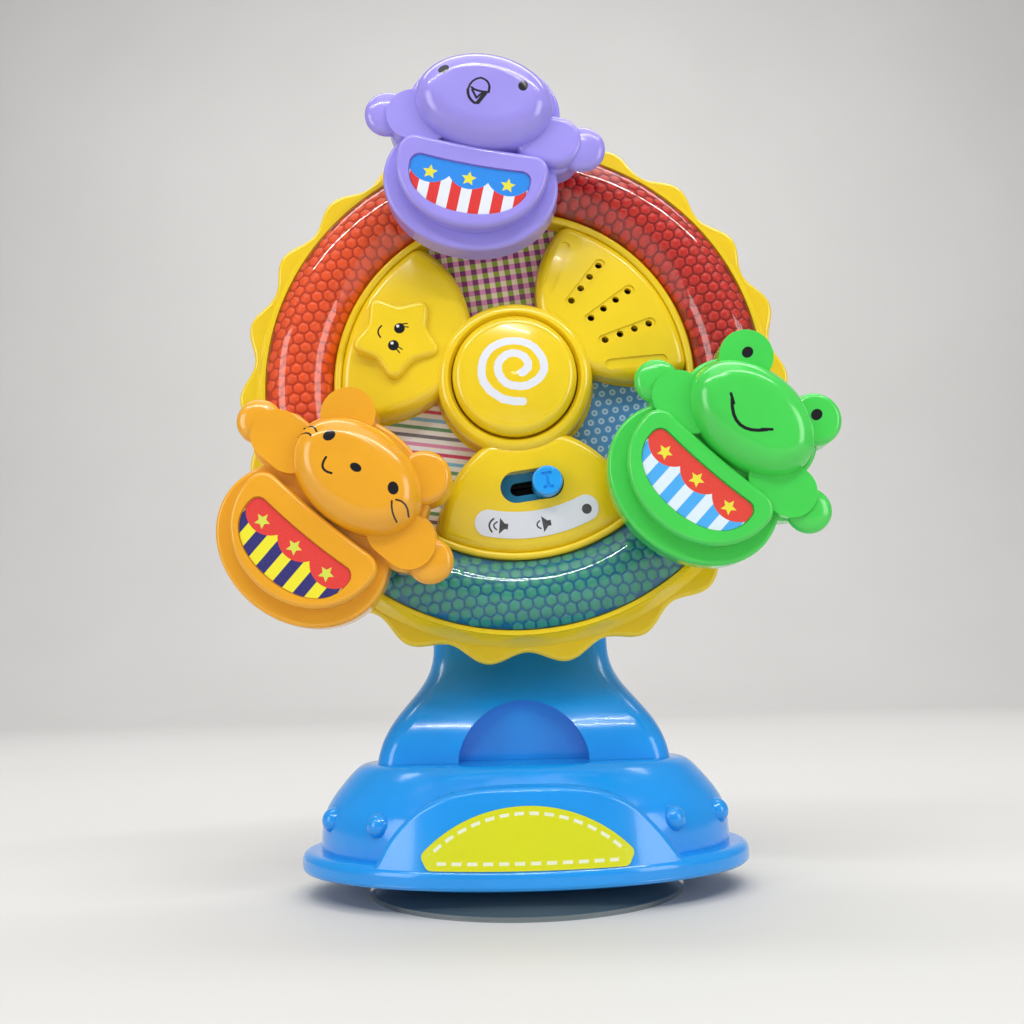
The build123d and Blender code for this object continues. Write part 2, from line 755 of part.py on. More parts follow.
def speaker_seat(turn):
    """Ring under the speaker pod that the speaker is pushed into."""
    with BuildPart() as seat:
        with BuildSketch(wheel_face(0, turn)):
            with Locations((SPEAKER_AT, 0)):
                Circle(SPEAKER_R + FIT + SEAT_WALL)
                Circle(SPEAKER_R + FIT, mode=Mode.SUBTRACT)
        extrude(amount=SEAT_TOP_H)
        with BuildSketch(wheel_face(SPEAKER_LEDGE_H, turn)):
            with Locations((SPEAKER_AT, 0)):
                Circle(SPEAKER_R + FIT + SEAT_WALL)
                Circle(SPEAKER_R - 2, mode=Mode.SUBTRACT)
        extrude(amount=SEAT_TOP_H - SPEAKER_LEDGE_H)
    return seat.part


TRAY_H = 5.0              # back of the fixed tray that lines the knob's slot
TRAY_T = 1.5
TRAY_L = 21.0
TRAY_W = 12.0


def tray_ribs(turn):
    """Two steps under the pod's roof that the slot's lining tray is bonded against."""
    with BuildPart() as ribs:
        with BuildSketch(wheel_face(TRAY_H + TRAY_T, turn)):
            for side in (-1, 1):
                with Locations((SLOT_AT + side * (SLOT_W + TRAY_W) / 4, 0)):
                    Rectangle((TRAY_W - SLOT_W) / 2, 17)
        extrude(amount=2.6)
    return ribs.part


def wheel_front_shell():
    with BuildPart() as shell:
        add(rim_ring())
        add(dish())
        for turn in BRIDGES.values():
            add(bridge(turn))
        for turn in PODS.values():
            add(pod(turn, 0))
        add(star_relief(PODS["star"]))
        for turn in PODS.values():
            add(pod(turn, SHELL), mode=Mode.SUBTRACT)
        add(speaker_seat(PODS["speaker"]))
        add(tray_ribs(PODS["switch"]))
        add(speaker_grooves(PODS["speaker"]), mode=Mode.SUBTRACT)
        add(speaker_holes(PODS["speaker"]), mode=Mode.SUBTRACT)
        with BuildSketch(wheel_face(FLOOR_H, PODS["switch"])):
            with Locations((SLOT_AT, 0)):
                SlotOverall(SLOT_L, SLOT_W, rotation=90)
        extrude(amount=POD_CREST, mode=Mode.SUBTRACT)
        with BuildSketch(wheel_face(BOARD_BACK + BOARD_T)):
            for turn in BRIDGES.values():
                with Locations(polar(BOARD_SCREW_AT, turn)):
                    Circle(BOARD_BOSS_R)
        extrude(amount=FLOOR_H - SHELL - BOARD_BACK - BOARD_T + 0.5)
        with BuildSketch(wheel_face(BOARD_BACK + BOARD_T)):
            for turn in BRIDGES.values():
                with Locations(polar(BOARD_SCREW_AT, turn)):
                    Circle(SCREW_R)
        extrude(amount=6, mode=Mode.SUBTRACT)
    return shell.part


save(wheel_front_shell(), "wheel_front_shell")


# ---------------------------------------------------------------- wheel: rear shell and lenses
BOX_AT = 44.0             # battery box centre, from the wheel's axis
BOX_TURN = 90
BOX_W = 32.0              # inside, across the three cells
BOX_L = 48.4              # inside, along the cells
BOX_WALL = 1.2
BOX_TOP = -10.4
CELL_R = 5.2
CELL_L = 44.0
DOOR_T = 1.2
DOOR_EDGE = 2.0
DOOR_TAB = 9.0
DOOR_SCREW_AT = BOX_AT - BOX_W / 2 - 6.0
BACK_R = 68.0
HUB_R = 8.0
BUSH_R = 4.5
BOARD_RIB_R = 61.0        # rib that presses the lamp board against the lenses
LAMP_BOARD_BACK = -3.6
REFLECTOR_BACK = -2.0


def rear_profile(inset):
    """Half section of the rear shell's outside, drawn in by inset."""
    top = SEAM_H - SEAT
    with BuildSketch(wheel_section()) as profile:
        with BuildLine():
            Line((0, top), (76.4 - inset, top))
            Line((76.4 - inset, top), (BACK_R + 4.4 - inset, BACK_H + 4 + inset / 2))
            ThreePointArc(
                (BACK_R + 4.4 - inset, BACK_H + 4 + inset / 2),
                (BACK_R + 2.9 - inset, BACK_H + 1.2 + inset), (BACK_R - inset, BACK_H + inset),
            )
            Line((BACK_R - inset, BACK_H + inset), (0, BACK_H + inset))
            Line((0, BACK_H + inset), (0, top))
        make_face()
    return profile.sketch


def door_outline(grow):
    """Rounded outline of the battery door with its screw tab."""
    across = BOX_W + 2 * DOOR_EDGE
    with BuildSketch(wheel_face(BACK_H, BOX_TURN)) as outline:
        with Locations((BOX_AT, 0)):
            RectangleRounded(across + 2 * grow, BOX_L + 2 * DOOR_EDGE + 2 * grow, 3)
        with Locations((BOX_AT - across / 2, 0)):
            RectangleRounded(2 * DOOR_TAB + 2 * grow, 14 + 2 * grow, 3)
    return outline.sketch


with BuildPart() as wheel_rear_shell:
    revolve(rear_profile(0), axis=WHEEL_AXIS)
    revolve(rear_profile(SHELL), axis=WHEEL_AXIS, mode=Mode.SUBTRACT)
    with BuildSketch(wheel_face(BACK_H)):
        Circle(HUB_R)
    extrude(amount=HUB_TOP - BACK_H)
    with BuildSketch(wheel_face(BACK_H + SHELL / 2)):
        for turn in BRIDGES.values():
            with Locations(polar(WHEEL_SCREW_AT, turn)):
                Circle(4.2)
    extrude(amount=8 + SHELL)
    with BuildSketch(wheel_face(BACK_H + SHELL / 2)):
        for turn in BRIDGES.values():
            with Locations(polar(WHEEL_SCREW_AT, turn)):
                Circle(WHEEL_BOSS_R)
        Circle(BOARD_RIB_R)
        Circle(BOARD_RIB_R - 1.4, mode=Mode.SUBTRACT)
    extrude(amount=LAMP_BOARD_BACK - BACK_H - SHELL / 2)
    with BuildSketch(wheel_face(LAMP_BOARD_BACK)):
        for turn in BRIDGES.values():
            with Locations(polar(WHEEL_SCREW_AT, turn)):
                Circle(WHEEL_BOSS_R)
    extrude(amount=SEAM_H - SEAT - LAMP_BOARD_BACK)
    with BuildSketch(wheel_face(BACK_H + SHELL / 2, BOX_TURN)):
        with Locations((BOX_AT, 0)):
            Rectangle(BOX_W + 2 * BOX_WALL, BOX_L + 2 * BOX_WALL)
        with Locations((DOOR_SCREW_AT, 0)):
            Circle(3.2)
    extrude(amount=BOX_TOP - BACK_H - SHELL / 2)
    with BuildSketch(wheel_face(BACK_H, BOX_TURN)):
        with Locations((BOX_AT, 0)):
            Rectangle(BOX_W, BOX_L)
    extrude(amount=BOX_TOP - BACK_H - BOX_WALL, mode=Mode.SUBTRACT)
    extrude(door_outline(0), amount=DOOR_T, mode=Mode.SUBTRACT)
    with BuildSketch(wheel_face(BACK_H)):
        Circle(BUSH_R)
        for turn in BRIDGES.values():
            with Locations(polar(WHEEL_SCREW_AT, turn)):
                Circle(SCREW_R + FIT)
    extrude(amount=SEAM_H - BACK_H, mode=Mode.SUBTRACT)
    with BuildSketch(wheel_face(BACK_H)):
        for turn in BRIDGES.values():
            with Locations(polar(WHEEL_SCREW_AT, turn)):
                Circle(SCREW_HEAD_R + 0.3)
        with Locations(polar(DOOR_SCREW_AT, BOX_TURN)):
            Circle(SCREW_R)
    extrude(amount=8, mode=Mode.SUBTRACT)
save(wheel_rear_shell.part, "wheel_rear_shell")

with BuildPart() as hub_bush:
    with BuildSketch(wheel_face(BACK_H)):
        Circle(BUSH_R)
        Circle(AXLE_R + RUN, mode=Mode.SUBTRACT)
    extrude(amount=HUB_TOP - BACK_H)
save(hub_bush.part, "hub_bush")

wheel_screws = pan_screws(
    Plane(origin=wheel_face(BACK_H + 8).origin, x_dir=(1, 0, 0), z_dir=(0, 1, 0)),
    [
        (x, -z)
        for x, z in [polar(WHEEL_SCREW_AT, WHEEL_TURN + turn) for turn in BRIDGES.values()]
    ],
    SCREW_HEAD_R, SCREW_HEAD_H, SCREW_R, 20,
)
save(wheel_screws, "wheel_screws")


def lens(start):
    """Clear channel-shaped cover over a third of the lamp ring, between two bridges."""
    gap = BRIDGE_HALF + degrees_at(LENS_FIT, LENS_IN_R)
    inner = LENS_IN_R + LENS_WALL
    outer = LENS_OUT_R - LENS_WALL
    middle = (LENS_IN_R + LENS_OUT_R) / 2
    with BuildPart() as cover:
        with BuildSketch(wheel_section(start + gap)):
            with BuildLine():
                Line((LENS_IN_R, 0), (LENS_IN_R, LENS_IN_H))
                ThreePointArc(
                    (LENS_IN_R, LENS_IN_H), (middle, LENS_CREST), (LENS_OUT_R, LENS_OUT_H)
                )
                Polyline(
                    (LENS_OUT_R, LENS_OUT_H), (LENS_OUT_R, 0), (outer, 0),
                    (outer, LENS_OUT_H - 0.6),
                )
                ThreePointArc(
                    (outer, LENS_OUT_H - 0.6), (middle, LENS_CREST - LENS_WALL),
                    (inner, LENS_IN_H - 0.6),
                )
                Polyline((inner, LENS_IN_H - 0.6), (inner, 0), (LENS_IN_R, 0))
            make_face()
        revolve(axis=WHEEL_AXIS, revolution_arc=120 - 2 * gap)
    return cover.part


save(lens(BRIDGES["bird"]), "lens_orange")
save(lens(BRIDGES["cat"]), "lens_blue")
save(lens(BRIDGES["frog"]), "lens_red")

# ---------------------------------------------------------------- wheel: lamps and electronics
LAMP_R = 2.5
LAMP_H = 4.0
LAMP_ANGLES = [turn + step for turn in BRIDGES.values() for step in (25, 60, 95)]
LAMPS = [polar(PIVOT_R, angle) for angle in LAMP_ANGLES]
BOSSES = [polar(WHEEL_SCREW_AT, turn) for turn in BRIDGES.values()]

with BuildPart() as lamp_reflector:
    with BuildSketch(wheel_face(REFLECTOR_BACK)):
        Circle(LENS_OUT_R)
        Circle(LENS_IN_R - 2, mode=Mode.SUBTRACT)
        with Locations(*LAMPS):
            Circle(LAMP_R + FIT, mode=Mode.SUBTRACT)
        with Locations(*BOSSES):
            Circle(WHEEL_BOSS_R + FIT, mode=Mode.SUBTRACT)
    extrude(amount=-REFLECTOR_BACK)
save(lamp_reflector.part, "lamp_reflector")

with BuildPart() as lamp_board:
    with BuildSketch(wheel_face(LAMP_BOARD_BACK)):
        Circle(LENS_OUT_R - 2)
        Circle(LENS_IN_R + 2, mode=Mode.SUBTRACT)
        with Locations(*BOSSES):
            Circle(WHEEL_BOSS_R + FIT, mode=Mode.SUBTRACT)
    extrude(amount=REFLECTOR_BACK - LAMP_BOARD_BACK)
save(lamp_board.part, "lamp_board")

with BuildPart() as lamps:
    with BuildSketch(wheel_face(REFLECTOR_BACK)):
        with Locations(*LAMPS):
            Circle(LAMP_R)
    extrude(amount=LAMP_H)
    fillet(lamps.edges().group_by(Axis.Y)[0], LAMP_R - 0.4)
save(lamps.part, "lamps")

with BuildPart() as circuit_board:
    with BuildSketch(wheel_face(BOARD_BACK)):
        Circle(BOARD_R)
        with Locations(*[polar(BOARD_SCREW_AT, turn) for turn in BRIDGES.values()]):
            Circle(SCREW_R + FIT, mode=Mode.SUBTRACT)
    extrude(amount=BOARD_T)
save(circuit_board.part, "circuit_board")

board_screws = pan_screws(
    Plane(origin=wheel_face(BOARD_BACK).origin, x_dir=(1, 0, 0), z_dir=(0, 1, 0)),
    [
        (x, -z)
        for x, z in [polar(BOARD_SCREW_AT, WHEEL_TURN + turn) for turn in BRIDGES.values()]
    ],
    SCREW_HEAD_R, 1.2, SCREW_R, 6.5,
)
save(board_screws, "board_screws")

BOARD_FRONT = BOARD_BACK + BOARD_T
PLUNGER_H = -0.3          # back end of the button's plunger at rest

with BuildPart() as button_switch:
    with BuildSketch(wheel_face(BOARD_FRONT)):
        Rectangle(6, 6)
    extrude(amount=2.4)
    with BuildSketch(wheel_face(BOARD_FRONT)):
        Circle(1.75)
    extrude(amount=PLUNGER_H - BUTTON_TRAVEL - BOARD_FRONT)
save(button_switch.part, "button_switch")

SWITCH_PLANE = wheel_face(BOARD_FRONT, PODS["switch"])
SWITCH_L = 16.0
SWITCH_W = 6.0
SWITCH_H = 3.6
KNOB_AT = KNOB_TRAVEL / 2 # the knob rests at the right-hand end of its slot

with BuildPart() as slide_switch:
    with BuildSketch(SWITCH_PLANE):
        with Locations((SLOT_AT, 0)):
            Rectangle(SWITCH_W, SWITCH_L)
    extrude(amount=SWITCH_H)
    with BuildSketch(SWITCH_PLANE.offset(0.6)):
        with Locations((SLOT_AT, 0)):
            Rectangle(SWITCH_W - 2, SWITCH_L - 2)
    extrude(amount=SWITCH_H, mode=Mode.SUBTRACT)
save(slide_switch.part, "slide_switch")

with BuildPart() as switch_tray:
    with BuildSketch(wheel_face(TRAY_H, PODS["switch"])):
        with Locations((SLOT_AT, 0)):
            RectangleRounded(TRAY_W, TRAY_L, 3)
            SlotOverall(KNOB_TRAVEL + 4.0, 4.0, rotation=90, mode=Mode.SUBTRACT)
    extrude(amount=TRAY_T)
save(switch_tray.part, "switch_tray")

with BuildPart() as speaker:
    with BuildSketch(wheel_face(SPEAKER_LEDGE_H - 1.5, PODS["speaker"])):
        with Locations((SPEAKER_AT, 0)):
            Circle(SPEAKER_R)
    extrude(amount=1.5)
    with BuildSketch(wheel_face(0, PODS["speaker"])):
        with Locations((SPEAKER_AT, 0)):
            Circle(SPEAKER_R - 2.5)
    extrude(amount=SPEAKER_LEDGE_H - 1.5)
    with BuildSketch(wheel_face(-4, PODS["speaker"])):
        with Locations((SPEAKER_AT, 0)):
            Circle(SPEAKER_R - 5)
    extrude(amount=4)
save(speaker.part, "speaker")

STICKER_T = 0.25


def dish_sticker(turn):
    """Printed sticker on the dish's floor, between two pods."""
    with BuildPart() as sticker:
        with BuildSketch(wheel_face(FLOOR_H)):
            Circle(DISH_R - DISH_EDGE - 0.8)
            Circle(BEZEL_R + 0.8, mode=Mode.SUBTRACT)
        extrude(amount=STICKER_T)
        for pod_turn in PODS.values():
            extrude(
                pod_outline(pod_turn, FLOOR_H, -0.5), amount=STICKER_T, mode=Mode.SUBTRACT
            )
    spot = wheel_face(FLOOR_H, turn).location * Pos(PIVOT_R, 0, 0)
    return sticker.part.solids().sort_by_distance(spot.position)[0]


save(dish_sticker(90), "sticker_top")
save(dish_sticker(330), "sticker_right")
save(dish_sticker(210), "sticker_left")

LABEL_AT = 44.0
LABEL_HALF_W = 3.8
LABEL_SWEEP = 19.0        # half the band's angle
LABEL_END = LABEL_SWEEP + degrees_at(LABEL_HALF_W, LABEL_AT)

with BuildPart() as volume_label:
    with BuildSketch(wheel_face(FLOOR_H, PODS["switch"])):
        with BuildLine():
            inner = LABEL_AT - LABEL_HALF_W
            outer = LABEL_AT + LABEL_HALF_W
            ThreePointArc(polar(inner, -LABEL_SWEEP), (inner, 0), polar(inner, LABEL_SWEEP))
            ThreePointArc(
                polar(inner, LABEL_SWEEP), polar(LABEL_AT, LABEL_END), polar(outer, LABEL_SWEEP)
            )
            ThreePointArc(polar(outer, LABEL_SWEEP), (outer, 0), polar(outer, -LABEL_SWEEP))
            ThreePointArc(
                polar(outer, -LABEL_SWEEP), polar(LABEL_AT, -LABEL_END),
                polar(inner, -LABEL_SWEEP),
            )
        make_face()
    extrude(amount=POD_CREST)
    add(crown(PODS["switch"], -0.2), mode=Mode.INTERSECT)
    add(crown(PODS["switch"], 0), mode=Mode.SUBTRACT)
save(volume_label.part, "volume_label")

# ---------------------------------------------------------------- wheel: batteries
CELL_H = BACK_H + DOOR_T + CELL_R + FIT
CELL_AT = [BOX_AT + k * (2 * CELL_R + 0.2) for k in (-1, 0, 1)]
BATTERY_END = wheel_face(0, BOX_TURN).location * Pos(0, -CELL_L / 2, CELL_H) * Rot(-90, 0, 0)
CONTACT_T = 0.5

with BuildPart() as batteries:
    with BuildSketch(Plane(BATTERY_END)):
        with Locations(*[(at, 0) for at in CELL_AT]):
            Circle(CELL_R)
    extrude(amount=CELL_L - 0.8)
    with BuildSketch(Plane(BATTERY_END)):
        with Locations(*[(at, 0) for at in CELL_AT]):
            Circle(1.9)
    extrude(amount=CELL_L)
save(batteries.part, "batteries")

with BuildPart() as battery_contacts:
    for side in (-1, 1):
        end = BATTERY_END * Pos(0, 0, CELL_L / 2 + side * BOX_L / 2)
        with BuildSketch(Plane(end * Rot(0, 90 + 90 * side, 0))):
            with Locations((-side * BOX_AT, 0)):
                Rectangle(BOX_W - 1, 2 * CELL_R - 2)
        extrude(amount=CONTACT_T)
        with BuildSketch(Plane(end * Rot(0, 90 + 90 * side, 0))):
            with Locations(*[(-side * at, 0) for at in CELL_AT]):
                Circle(2.4)
        extrude(amount=(BOX_L - CELL_L) / 2)
save(battery_contacts.part, "battery_contacts")

with BuildPart() as battery_door:
    extrude(door_outline(-0.15), amount=DOOR_T)
    with BuildSketch(wheel_face(BACK_H, BOX_TURN)):
        with Locations((DOOR_SCREW_AT, 0)):
            Circle(SCREW_R + FIT)
    extrude(amount=DOOR_T, mode=Mode.SUBTRACT)
save(battery_door.part, "battery_door")

door_spot = polar(DOOR_SCREW_AT, WHEEL_TURN + BOX_TURN)
door_screw = pan_screws(
    Plane(origin=wheel_face(BACK_H).origin, x_dir=(1, 0, 0), z_dir=(0, 1, 0)),
    [(door_spot[0], -door_spot[1])], SCREW_HEAD_R, 0.8, SCREW_R, 8,
)
save(door_screw, "door_screw")

# ---------------------------------------------------------------- centre button
FLANGE_H = FLOOR_H - SHELL - 0.05
SPRING_R = 5.4
SPRING_WIRE = 0.45
SPRING_TOP_H = 2.0

BUTTON_EDGE_R = 3.2
CROWN_R = 66.0            # the button's crown is a flat piece of a sphere

with BuildPart() as centre_button:
    with BuildSketch(wheel_section()):
        with BuildLine():
            reach = BUTTON_R - BUTTON_EDGE_R
            fall = degrees(asin(reach / CROWN_R))
            crown_line = CenterArc((0, BUTTON_CREST - CROWN_R), CROWN_R, 90, -fall)
            inside = degrees(asin((BUTTON_R - SHELL) / (CROWN_R - SHELL)))
            inner_line = CenterArc((0, BUTTON_CREST - CROWN_R), CROWN_R - SHELL, 90, -inside)
            side_h = (crown_line @ 1).Y - BUTTON_EDGE_R
            Line((0, BUTTON_CREST), (0, BUTTON_CREST - SHELL))
            Polyline(
                inner_line @ 1, (BUTTON_R - SHELL, -1), (BORE_R + 1.1, -1),
                (BORE_R + 1.1, FLANGE_H), (BUTTON_R, FLANGE_H), (BUTTON_R, side_h),
            )
            ThreePointArc(
                (BUTTON_R, side_h),
                (BUTTON_R - BUTTON_EDGE_R * 0.29, side_h + BUTTON_EDGE_R * 0.71),
                crown_line @ 1,
            )
        make_face()
    revolve(axis=WHEEL_AXIS)
    with BuildSketch(wheel_face(SPRING_TOP_H)):
        Circle(SPRING_R + 2)
    extrude(until=Until.NEXT)
    with BuildSketch(wheel_face(PLUNGER_H)):
        Circle(3)
    extrude(amount=SPRING_TOP_H - PLUNGER_H)
save(centre_button.part, "centre_button")

SPRING_L = SPRING_TOP_H - BOARD_FRONT
SPRING_COIL = SPRING_L - 2 * SPRING_WIRE - 0.1

with BuildPart() as button_spring:
    with BuildLine() as coil:
        Helix(
            pitch=SPRING_COIL / 4, height=SPRING_COIL, radius=SPRING_R,
            center=wheel_face(BOARD_FRONT + SPRING_WIRE).origin, direction=(0, -1, 0),
        )
    with BuildSketch(Plane(origin=coil.line @ 0, z_dir=coil.line % 0)):
        Circle(SPRING_WIRE)
    sweep(path=coil.line)
save(button_spring.part, "button_spring")

# ---------------------------------------------------------------- volume knob
KNOB_TOP_H = 14.5
STEM_R = 1.5

with BuildPart() as volume_knob:
    with BuildSketch(wheel_face(TRAY_H + TRAY_T + FIT, PODS["switch"])):
        with Locations((SLOT_AT, KNOB_AT)):
            Circle(KNOB_R)
    extrude(amount=KNOB_TOP_H - TRAY_H - TRAY_T - FIT)
    fillet(volume_knob.edges().group_by(Axis.Y)[0], 0.9)
    with BuildSketch(wheel_face(KNOB_TOP_H - 0.5, PODS["switch"])):
        with Locations((SLOT_AT, KNOB_AT)):
            Rectangle(4.0, 0.9)
        for end in (-2, 2):
            with Locations((SLOT_AT + end, KNOB_AT)):
                Rectangle(0.9, 2.8)
    extrude(amount=1, mode=Mode.SUBTRACT)
    with BuildSketch(wheel_face(BOARD_FRONT + SWITCH_H + 0.2, PODS["switch"])):
        with Locations((SLOT_AT, KNOB_AT)):
            Circle(STEM_R)
    extrude(amount=TRAY_H + TRAY_T + FIT - BOARD_FRONT - SWITCH_H - 0.2)
    with BuildSketch(wheel_face(TRAY_H - FIT, PODS["switch"])):
        with Locations((SLOT_AT, KNOB_AT)):
            Circle(3.0)
    extrude(amount=-0.9)
    with BuildSketch(wheel_face(BOARD_FRONT + SWITCH_H + 0.2, PODS["switch"])):
        with Locations((SLOT_AT, KNOB_AT)):
            Circle(0.8)
    extrude(amount=2, mode=Mode.SUBTRACT)
save(volume_knob.part, "volume_knob")

with BuildPart() as switch_slider:
    with BuildSketch(SWITCH_PLANE.offset(0.6 + FIT)):
        with Locations((SLOT_AT, KNOB_AT)):
            Rectangle(SWITCH_W - 2 - 2 * FIT, 4.8)
    extrude(amount=SWITCH_H - 0.8)
    with BuildSketch(SWITCH_PLANE.offset(SWITCH_H - 0.4)):
        with Locations((SLOT_AT, KNOB_AT)):
            Circle(0.8)
    extrude(amount=2.4)
save(switch_slider.part, "switch_slider")


# ---------------------------------------------------------------- gondolas
# Each gondola hangs tilted by its own angle, clockwise from upright. Sizes are seen from its front,
# from its pivot: tray centre (across, up), head ellipse (across, up, half width, half height).
GONDOLAS = {
    "bird": {
        "tilt": 12.5, "tray": (-1.0, -9.5), "chord": -6.4,
        "head": (-1.6, 14.0, 20.5, 15.0), "rim": (2.0, 2.4),
        "arms": (29.0, 6.5, 9.0), "ears": [],
    },
    "cat": {
        "tilt": 40.5, "tray": (0.7, -13.0), "chord": -10.5,
        "head": (1.0, 10.7, 20.0, 14.2), "rim": (1.6, 1.8),
        "arms": (31.0, 5.5, 8.5), "ears": [(-12.5, 22.5), (15.0, 22.0)],
    },
    "frog": {
        "tilt": 43.5, "tray": (-1.0, -15.5), "chord": -11.1,
        "head": (-1.0, 8.3, 19.5, 14.0), "rim": (1.6, 1.8),
        "arms": (27.5, -0.5, 8.5), "ears": [(-13.5, 21.0), (12.3, 20.0)],
    },
}
TRAY_A = 25.7             # half axes of the tray's flange
TRAY_B = 21.0
D_W = 21.4                # half width of the raised tray
D_TOP = 9.0
D_BOTTOM = -16.0
ARM_TOP = 27.0
EAR_R = 7.6
STICKER_W = 17.3
STICKER_H = 15.2
RECESS = 0.8
COVER_T = 2.0
COVER_LEDGE = 1.2
BEARING_R = 5.8
COVER_SCREWS = [(-15.0, 0.0), (15.0, 0.0)]
WASHER_H = 0.8


def gondola_face(name, height):
    """Plane parallel to the wheel's front with its origin at the gondola's pivot."""
    spot = wheel_face(height, BRIDGES[name]).location * Pos(PIVOT_R, 0, 0)
    t = radians(GONDOLAS[name]["tilt"])
    return Plane(origin=spot.position, x_dir=(cos(t), 0, -sin(t)), z_dir=(0, -1, 0))


def flange_outline(name, height, inset):
    """Outline of the gondola's flat body: tray, head, arms and ears in one."""
    toy = GONDOLAS[name]
    head_u, head_v, head_a, head_b = toy["head"]
    reach, arm_v, arm_r = toy["arms"]
    with BuildSketch(gondola_face(name, height)) as outline:
        with Locations(toy["tray"]):
            Ellipse(TRAY_A - inset, TRAY_B - inset)
        with Locations((head_u, head_v)):
            Ellipse(head_a + toy["rim"][0] - inset, head_b + toy["rim"][1] - inset)
        with Locations((0, arm_v)):
            SlotOverall(2 * (reach - inset), 2 * (arm_r - inset))
        for spot in toy["ears"]:
            with Locations(spot):
                Circle(EAR_R - inset)
    return outline.sketch


def raised_outline(name, height, inset):
    """Outline of the arms and ears, which stand higher than the flange."""
    toy = GONDOLAS[name]
    reach, arm_v, arm_r = toy["arms"]
    with BuildSketch(gondola_face(name, height)) as outline:
        for side in (-1, 1):
            with Locations((side * (reach - 10), arm_v)):
                SlotOverall(20 - 2 * inset, 2 * (arm_r - 1.2 - inset))
        for spot in toy["ears"]:
            with Locations(spot):
                Circle(EAR_R - inset)
    return outline.sketch


def tray_outline(name, height, half_width, top, bottom, corner):
    """D-shaped outline: slightly hollow top edge and a round belly."""
    u, v = GONDOLAS[name]["tray"]
    with BuildSketch(gondola_face(name, height)) as outline:
        with BuildLine():
            ThreePointArc(
                (u - half_width, top + 0.8), (u, top), (u + half_width, top + 0.8)
            )
            Spline(
                (u + half_width, top + 0.8), (u, bottom), (u - half_width, top + 0.8),
                tangents=((0.25, -1), (0.25, 1)), tangent_scalars=(1.5, 1.5),
            )
        make_face()
        fillet(outline.vertices(), corner)
    return outline.sketch


def head_dome(name, inset, top):
    """Puffy oval head, rounded all round its front."""
    head_u, head_v, head_a, head_b = GONDOLAS[name]["head"]
    foot = GONDOLA_FRONT - GONDOLA_WALL
    with BuildPart() as dome:
        with BuildSketch(gondola_face(name, foot)):
            with Locations((head_u, head_v)):
                Ellipse(head_a - inset, head_b - inset)
        extrude(amount=top - foot)
        fillet(dome.faces().sort_by(Axis.Y)[0].edges(), 7.6 - inset)
    return dome.part


def gondola_front(name):
    u, v = GONDOLAS[name]["tray"]
    chord = GONDOLAS[name]["chord"]
    roof = GONDOLA_FRONT - GONDOLA_WALL
    seat = GONDOLA_BACK + COVER_T + SEAT
    with BuildPart() as body:
        extrude(flange_outline(name, GONDOLA_BACK, 0), amount=GONDOLA_FRONT - GONDOLA_BACK)
        fillet(body.faces().sort_by(Axis.Y)[0].edges(), 1.2)
        with BuildPart(mode=Mode.PRIVATE) as raised:
            extrude(raised_outline(name, roof, 0), amount=ARM_TOP - roof)
            fillet(raised.faces().sort_by(Axis.Y)[0].edges(), 2.0)
        add(raised)
        with BuildPart(mode=Mode.PRIVATE) as tray:
            extrude(tray_outline(name, roof, D_W, v + D_TOP, v + D_BOTTOM, 5), amount=TRAY_TOP - roof)
            fillet(tray.faces().sort_by(Axis.Y)[0].edges(), 1.4)
        add(tray)
        add(head_dome(name, 0, HEAD_TOP))
        extrude(
            tray_outline(name, TRAY_TOP - RECESS, STICKER_W, chord, chord - STICKER_H, 3),
            amount=RECESS, mode=Mode.SUBTRACT,
        )
        extrude(
            flange_outline(name, GONDOLA_BACK, GONDOLA_WALL),
            amount=seat - GONDOLA_BACK, mode=Mode.SUBTRACT,
        )
        extrude(
            flange_outline(name, seat, GONDOLA_WALL + COVER_LEDGE),
            amount=roof - seat, mode=Mode.SUBTRACT,
        )
        add(head_dome(name, GONDOLA_WALL, HEAD_TOP - GONDOLA_WALL), mode=Mode.SUBTRACT)
        with BuildSketch(gondola_face(name, seat)):
            with Locations(*COVER_SCREWS):
                Circle(3.0)
        extrude(amount=GONDOLA_FRONT - seat)
        with BuildSketch(gondola_face(name, seat)):
            with Locations(*COVER_SCREWS):
                Circle(POST_SCREW_R)
        extrude(amount=4.5, mode=Mode.SUBTRACT)
    return body.part


def gondola_rear(name):
    with BuildPart() as cover:
        extrude(flange_outline(name, GONDOLA_BACK, GONDOLA_WALL + FIT), amount=COVER_T)
        with BuildSketch(gondola_face(name, GONDOLA_BACK)):
            Circle(BEARING_R)
        extrude(amount=POST_TOP - FIT - GONDOLA_BACK)
        with BuildSketch(gondola_face(name, GONDOLA_BACK)):
            Circle(POST_R + RUN)
            with Locations(*COVER_SCREWS):
                Circle(POST_SCREW_R + FIT)
        extrude(amount=4, mode=Mode.SUBTRACT)
    return cover.part


def cover_screws(name):
    face = gondola_face(name, GONDOLA_BACK)
    back = Plane(origin=face.origin, x_dir=-face.x_dir, z_dir=(0, 1, 0))
    return pan_screws(back, [(-u, v) for u, v in COVER_SCREWS], 2.2, 1.0, POST_SCREW_R, 6.0)


def tray_sticker(name):
    chord = GONDOLAS[name]["chord"]
    width = STICKER_W - 0.3
    face = tray_outline(name, TRAY_TOP - RECESS, width, chord - 0.3, chord - STICKER_H + 0.3, 2.7)
    return extrude(face, amount=STICKER_T)


for animal in GONDOLAS:
    save(gondola_front(animal), f"{animal}_front")
    save(gondola_rear(animal), f"{animal}_rear")
    save(cover_screws(animal), f"{animal}_screws")
    save(tray_sticker(animal), f"{animal}_sticker")

